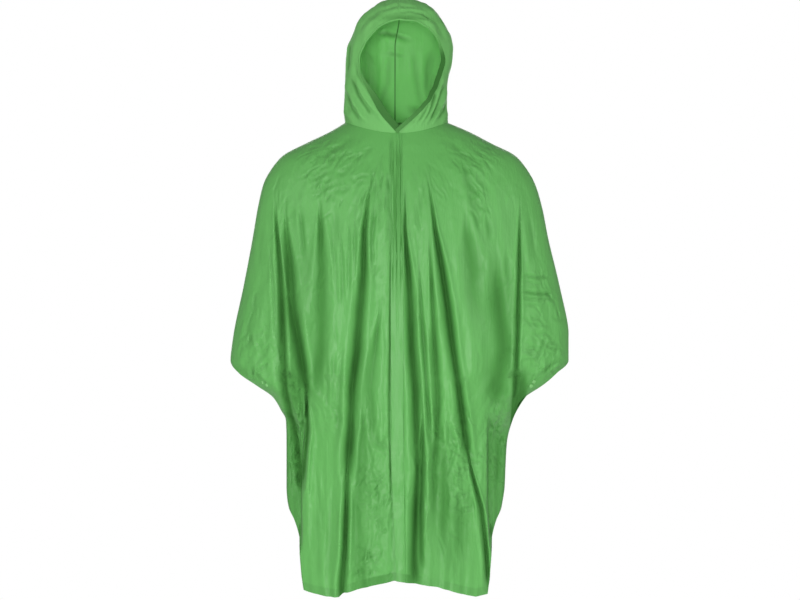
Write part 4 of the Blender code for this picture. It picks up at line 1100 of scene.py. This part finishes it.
hoodRows = evenRows(hood, "z", 0.0024 * coarse)
hoodColumns = np.linspace(0, 1, int(130 / coarse) + 1)
hoodRight = filmPiece("hoodRight", hoodColumns, hoodRows, hoodSurface(-1), litHoodFilm)
hoodLeft = filmPiece("hoodLeft", hoodColumns, hoodRows, hoodSurface(1), litHoodFilm)
hemSpan = np.concatenate([np.linspace(0, 0.44, 8), np.linspace(hood["hemFrom"], hood["rimTop"] - 0.05, 150)])
hoodHemRight = filmPiece("hoodHemRight", np.linspace(0, 1, 9), hemSpan, hoodHemSurface(-1), litHoodFilm)
hoodHemLeft = filmPiece("hoodHemLeft", np.linspace(0, 1, 7), hemSpan, hoodHemSurface(1), litHoodFilm)
print("hood made")

for piece, node in ((frontRight, "front_right"), (frontLeft, "front_left"), (back, "back"),
                    (placket, "placket"), (hoodRight, "hood_right"), (hoodLeft, "hood_left"),
                    (hoodHemRight, "hood_hem_right"), (hoodHemLeft, "hood_hem_left"),
                    (hemFrontRight, "hem_front_right"), (hemFrontLeft, "hem_front_left"),
                    (hemBack, "hem_back"),
                    (cuffFrontRight, "cuff_hem_front_right"), (cuffBackRight, "cuff_hem_back_right"),
                    (cuffFrontLeft, "cuff_hem_front_left"), (cuffBackLeft, "cuff_hem_back_left")):
    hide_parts(node)


def studMaterial():
    material = bpy.data.materials.new("studPlastic")
    material.use_nodes = True
    add, tree = nodeAdder(material)
    spot = add("ShaderNodeTexCoord").outputs["Object"]
    speck = add("ShaderNodeTexNoise", {"Vector": spot}, Scale=300.0)
    tone = add("ShaderNodeMix", {"Factor": speck.outputs["Fac"]}, data_type="RGBA")
    tone.inputs[6].default_value = (0.13, 0.40, 0.11, 1)
    tone.inputs[7].default_value = (0.22, 0.52, 0.18, 1)
    shader = add("ShaderNodeBsdfPrincipled", {"Base Color": tone.outputs[2]}, Roughness=0.28)
    end = add("ShaderNodeOutputMaterial")
    tree.links.new(shader.outputs[0], end.inputs["Surface"])
    return material


studPlastic = studMaterial()
for name in ("stud_right_1", "stud_right_2", "stud_left_1", "stud_left_2"):
    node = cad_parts[name]
    node.data.materials.clear()
    node.data.materials.append(studPlastic)
print("studs dressed")

camera = bpy.data.objects.new("camera", bpy.data.cameras.new("camera"))
bpy.context.scene.collection.objects.link(camera)
camera.location = (0.002, -4.0, -0.359)
camera.rotation_euler = (math.radians(90), 0, 0)
camera.data.sensor_width = 36
camera.data.lens = 36 * 4 / 1.72  # 1.72 m of width shown at 4 m
bpy.context.scene.camera = camera

floorMesh = bmesh.new()
bmesh.ops.create_circle(floorMesh, cap_ends=True, segments=96, radius=1.9)
floorData = bpy.data.meshes.new("floor")
floorMesh.to_mesh(floorData)
floorMesh.free()
floor = bpy.data.objects.new("floor", floorData)
floor.location = (0, 0, -1.45)
bpy.context.scene.collection.objects.link(floor)
pale = bpy.data.materials.new("paleFloor")
pale.use_nodes = True
paleShader = pale.node_tree.nodes["Principled BSDF"]
for socket, value in (("Base Color", (0.9, 0.9, 0.9, 1)), ("Roughness", 0.9),
                      ("Emission Color", (1, 1, 1, 1)), ("Emission Strength", 0.22)):
    paleShader.inputs[socket].default_value = value
floorData.materials.append(pale)

world = bpy.data.worlds.new("studio")
world.use_nodes = True
tree = world.node_tree
background = tree.nodes["Background"]
background.inputs["Color"].default_value = (1, 1, 1, 1)
path = tree.nodes.new("ShaderNodeLightPath")
strength = tree.nodes.new("ShaderNodeMapRange")  # white behind the object, dimmer as its light
tree.links.new(path.outputs["Is Camera Ray"], strength.inputs["Value"])
tree.links.new(setRange(strength, toMin=0.33, toMax=1.0), background.inputs["Strength"])
bpy.context.scene.world = world

lights = {
    "columns": ("name", "place", "size", "power"),
    "rows": (
        ("keyFront", (-0.2, -4.5, -0.45), 1.0, 117),
        ("sideLeft", (-2.6, -2.2, 0.8), 1.6, 32),
        ("sideRight", (2.6, -2.0, 0.4), 1.4, 26),
        ("behind", (0.0, 4.2, 0.1), 3.2, 95),
    ),
    "aim": (0, 0, -0.35),
}
for name, place, size, power in lights["rows"]:
    light = bpy.data.lights.new(name, "AREA")
    light.shape = "SQUARE"
    light.size = size
    light.energy = power
    thing = bpy.data.objects.new(name, light)
    bpy.context.scene.collection.objects.link(thing)
    thing.location = place
    thing.rotation_euler = (Vector(lights["aim"]) - Vector(place)).to_track_quat("-Z", "Y").to_euler()
bpy.context.scene.view_settings.view_transform = "Standard"
print("stage set")
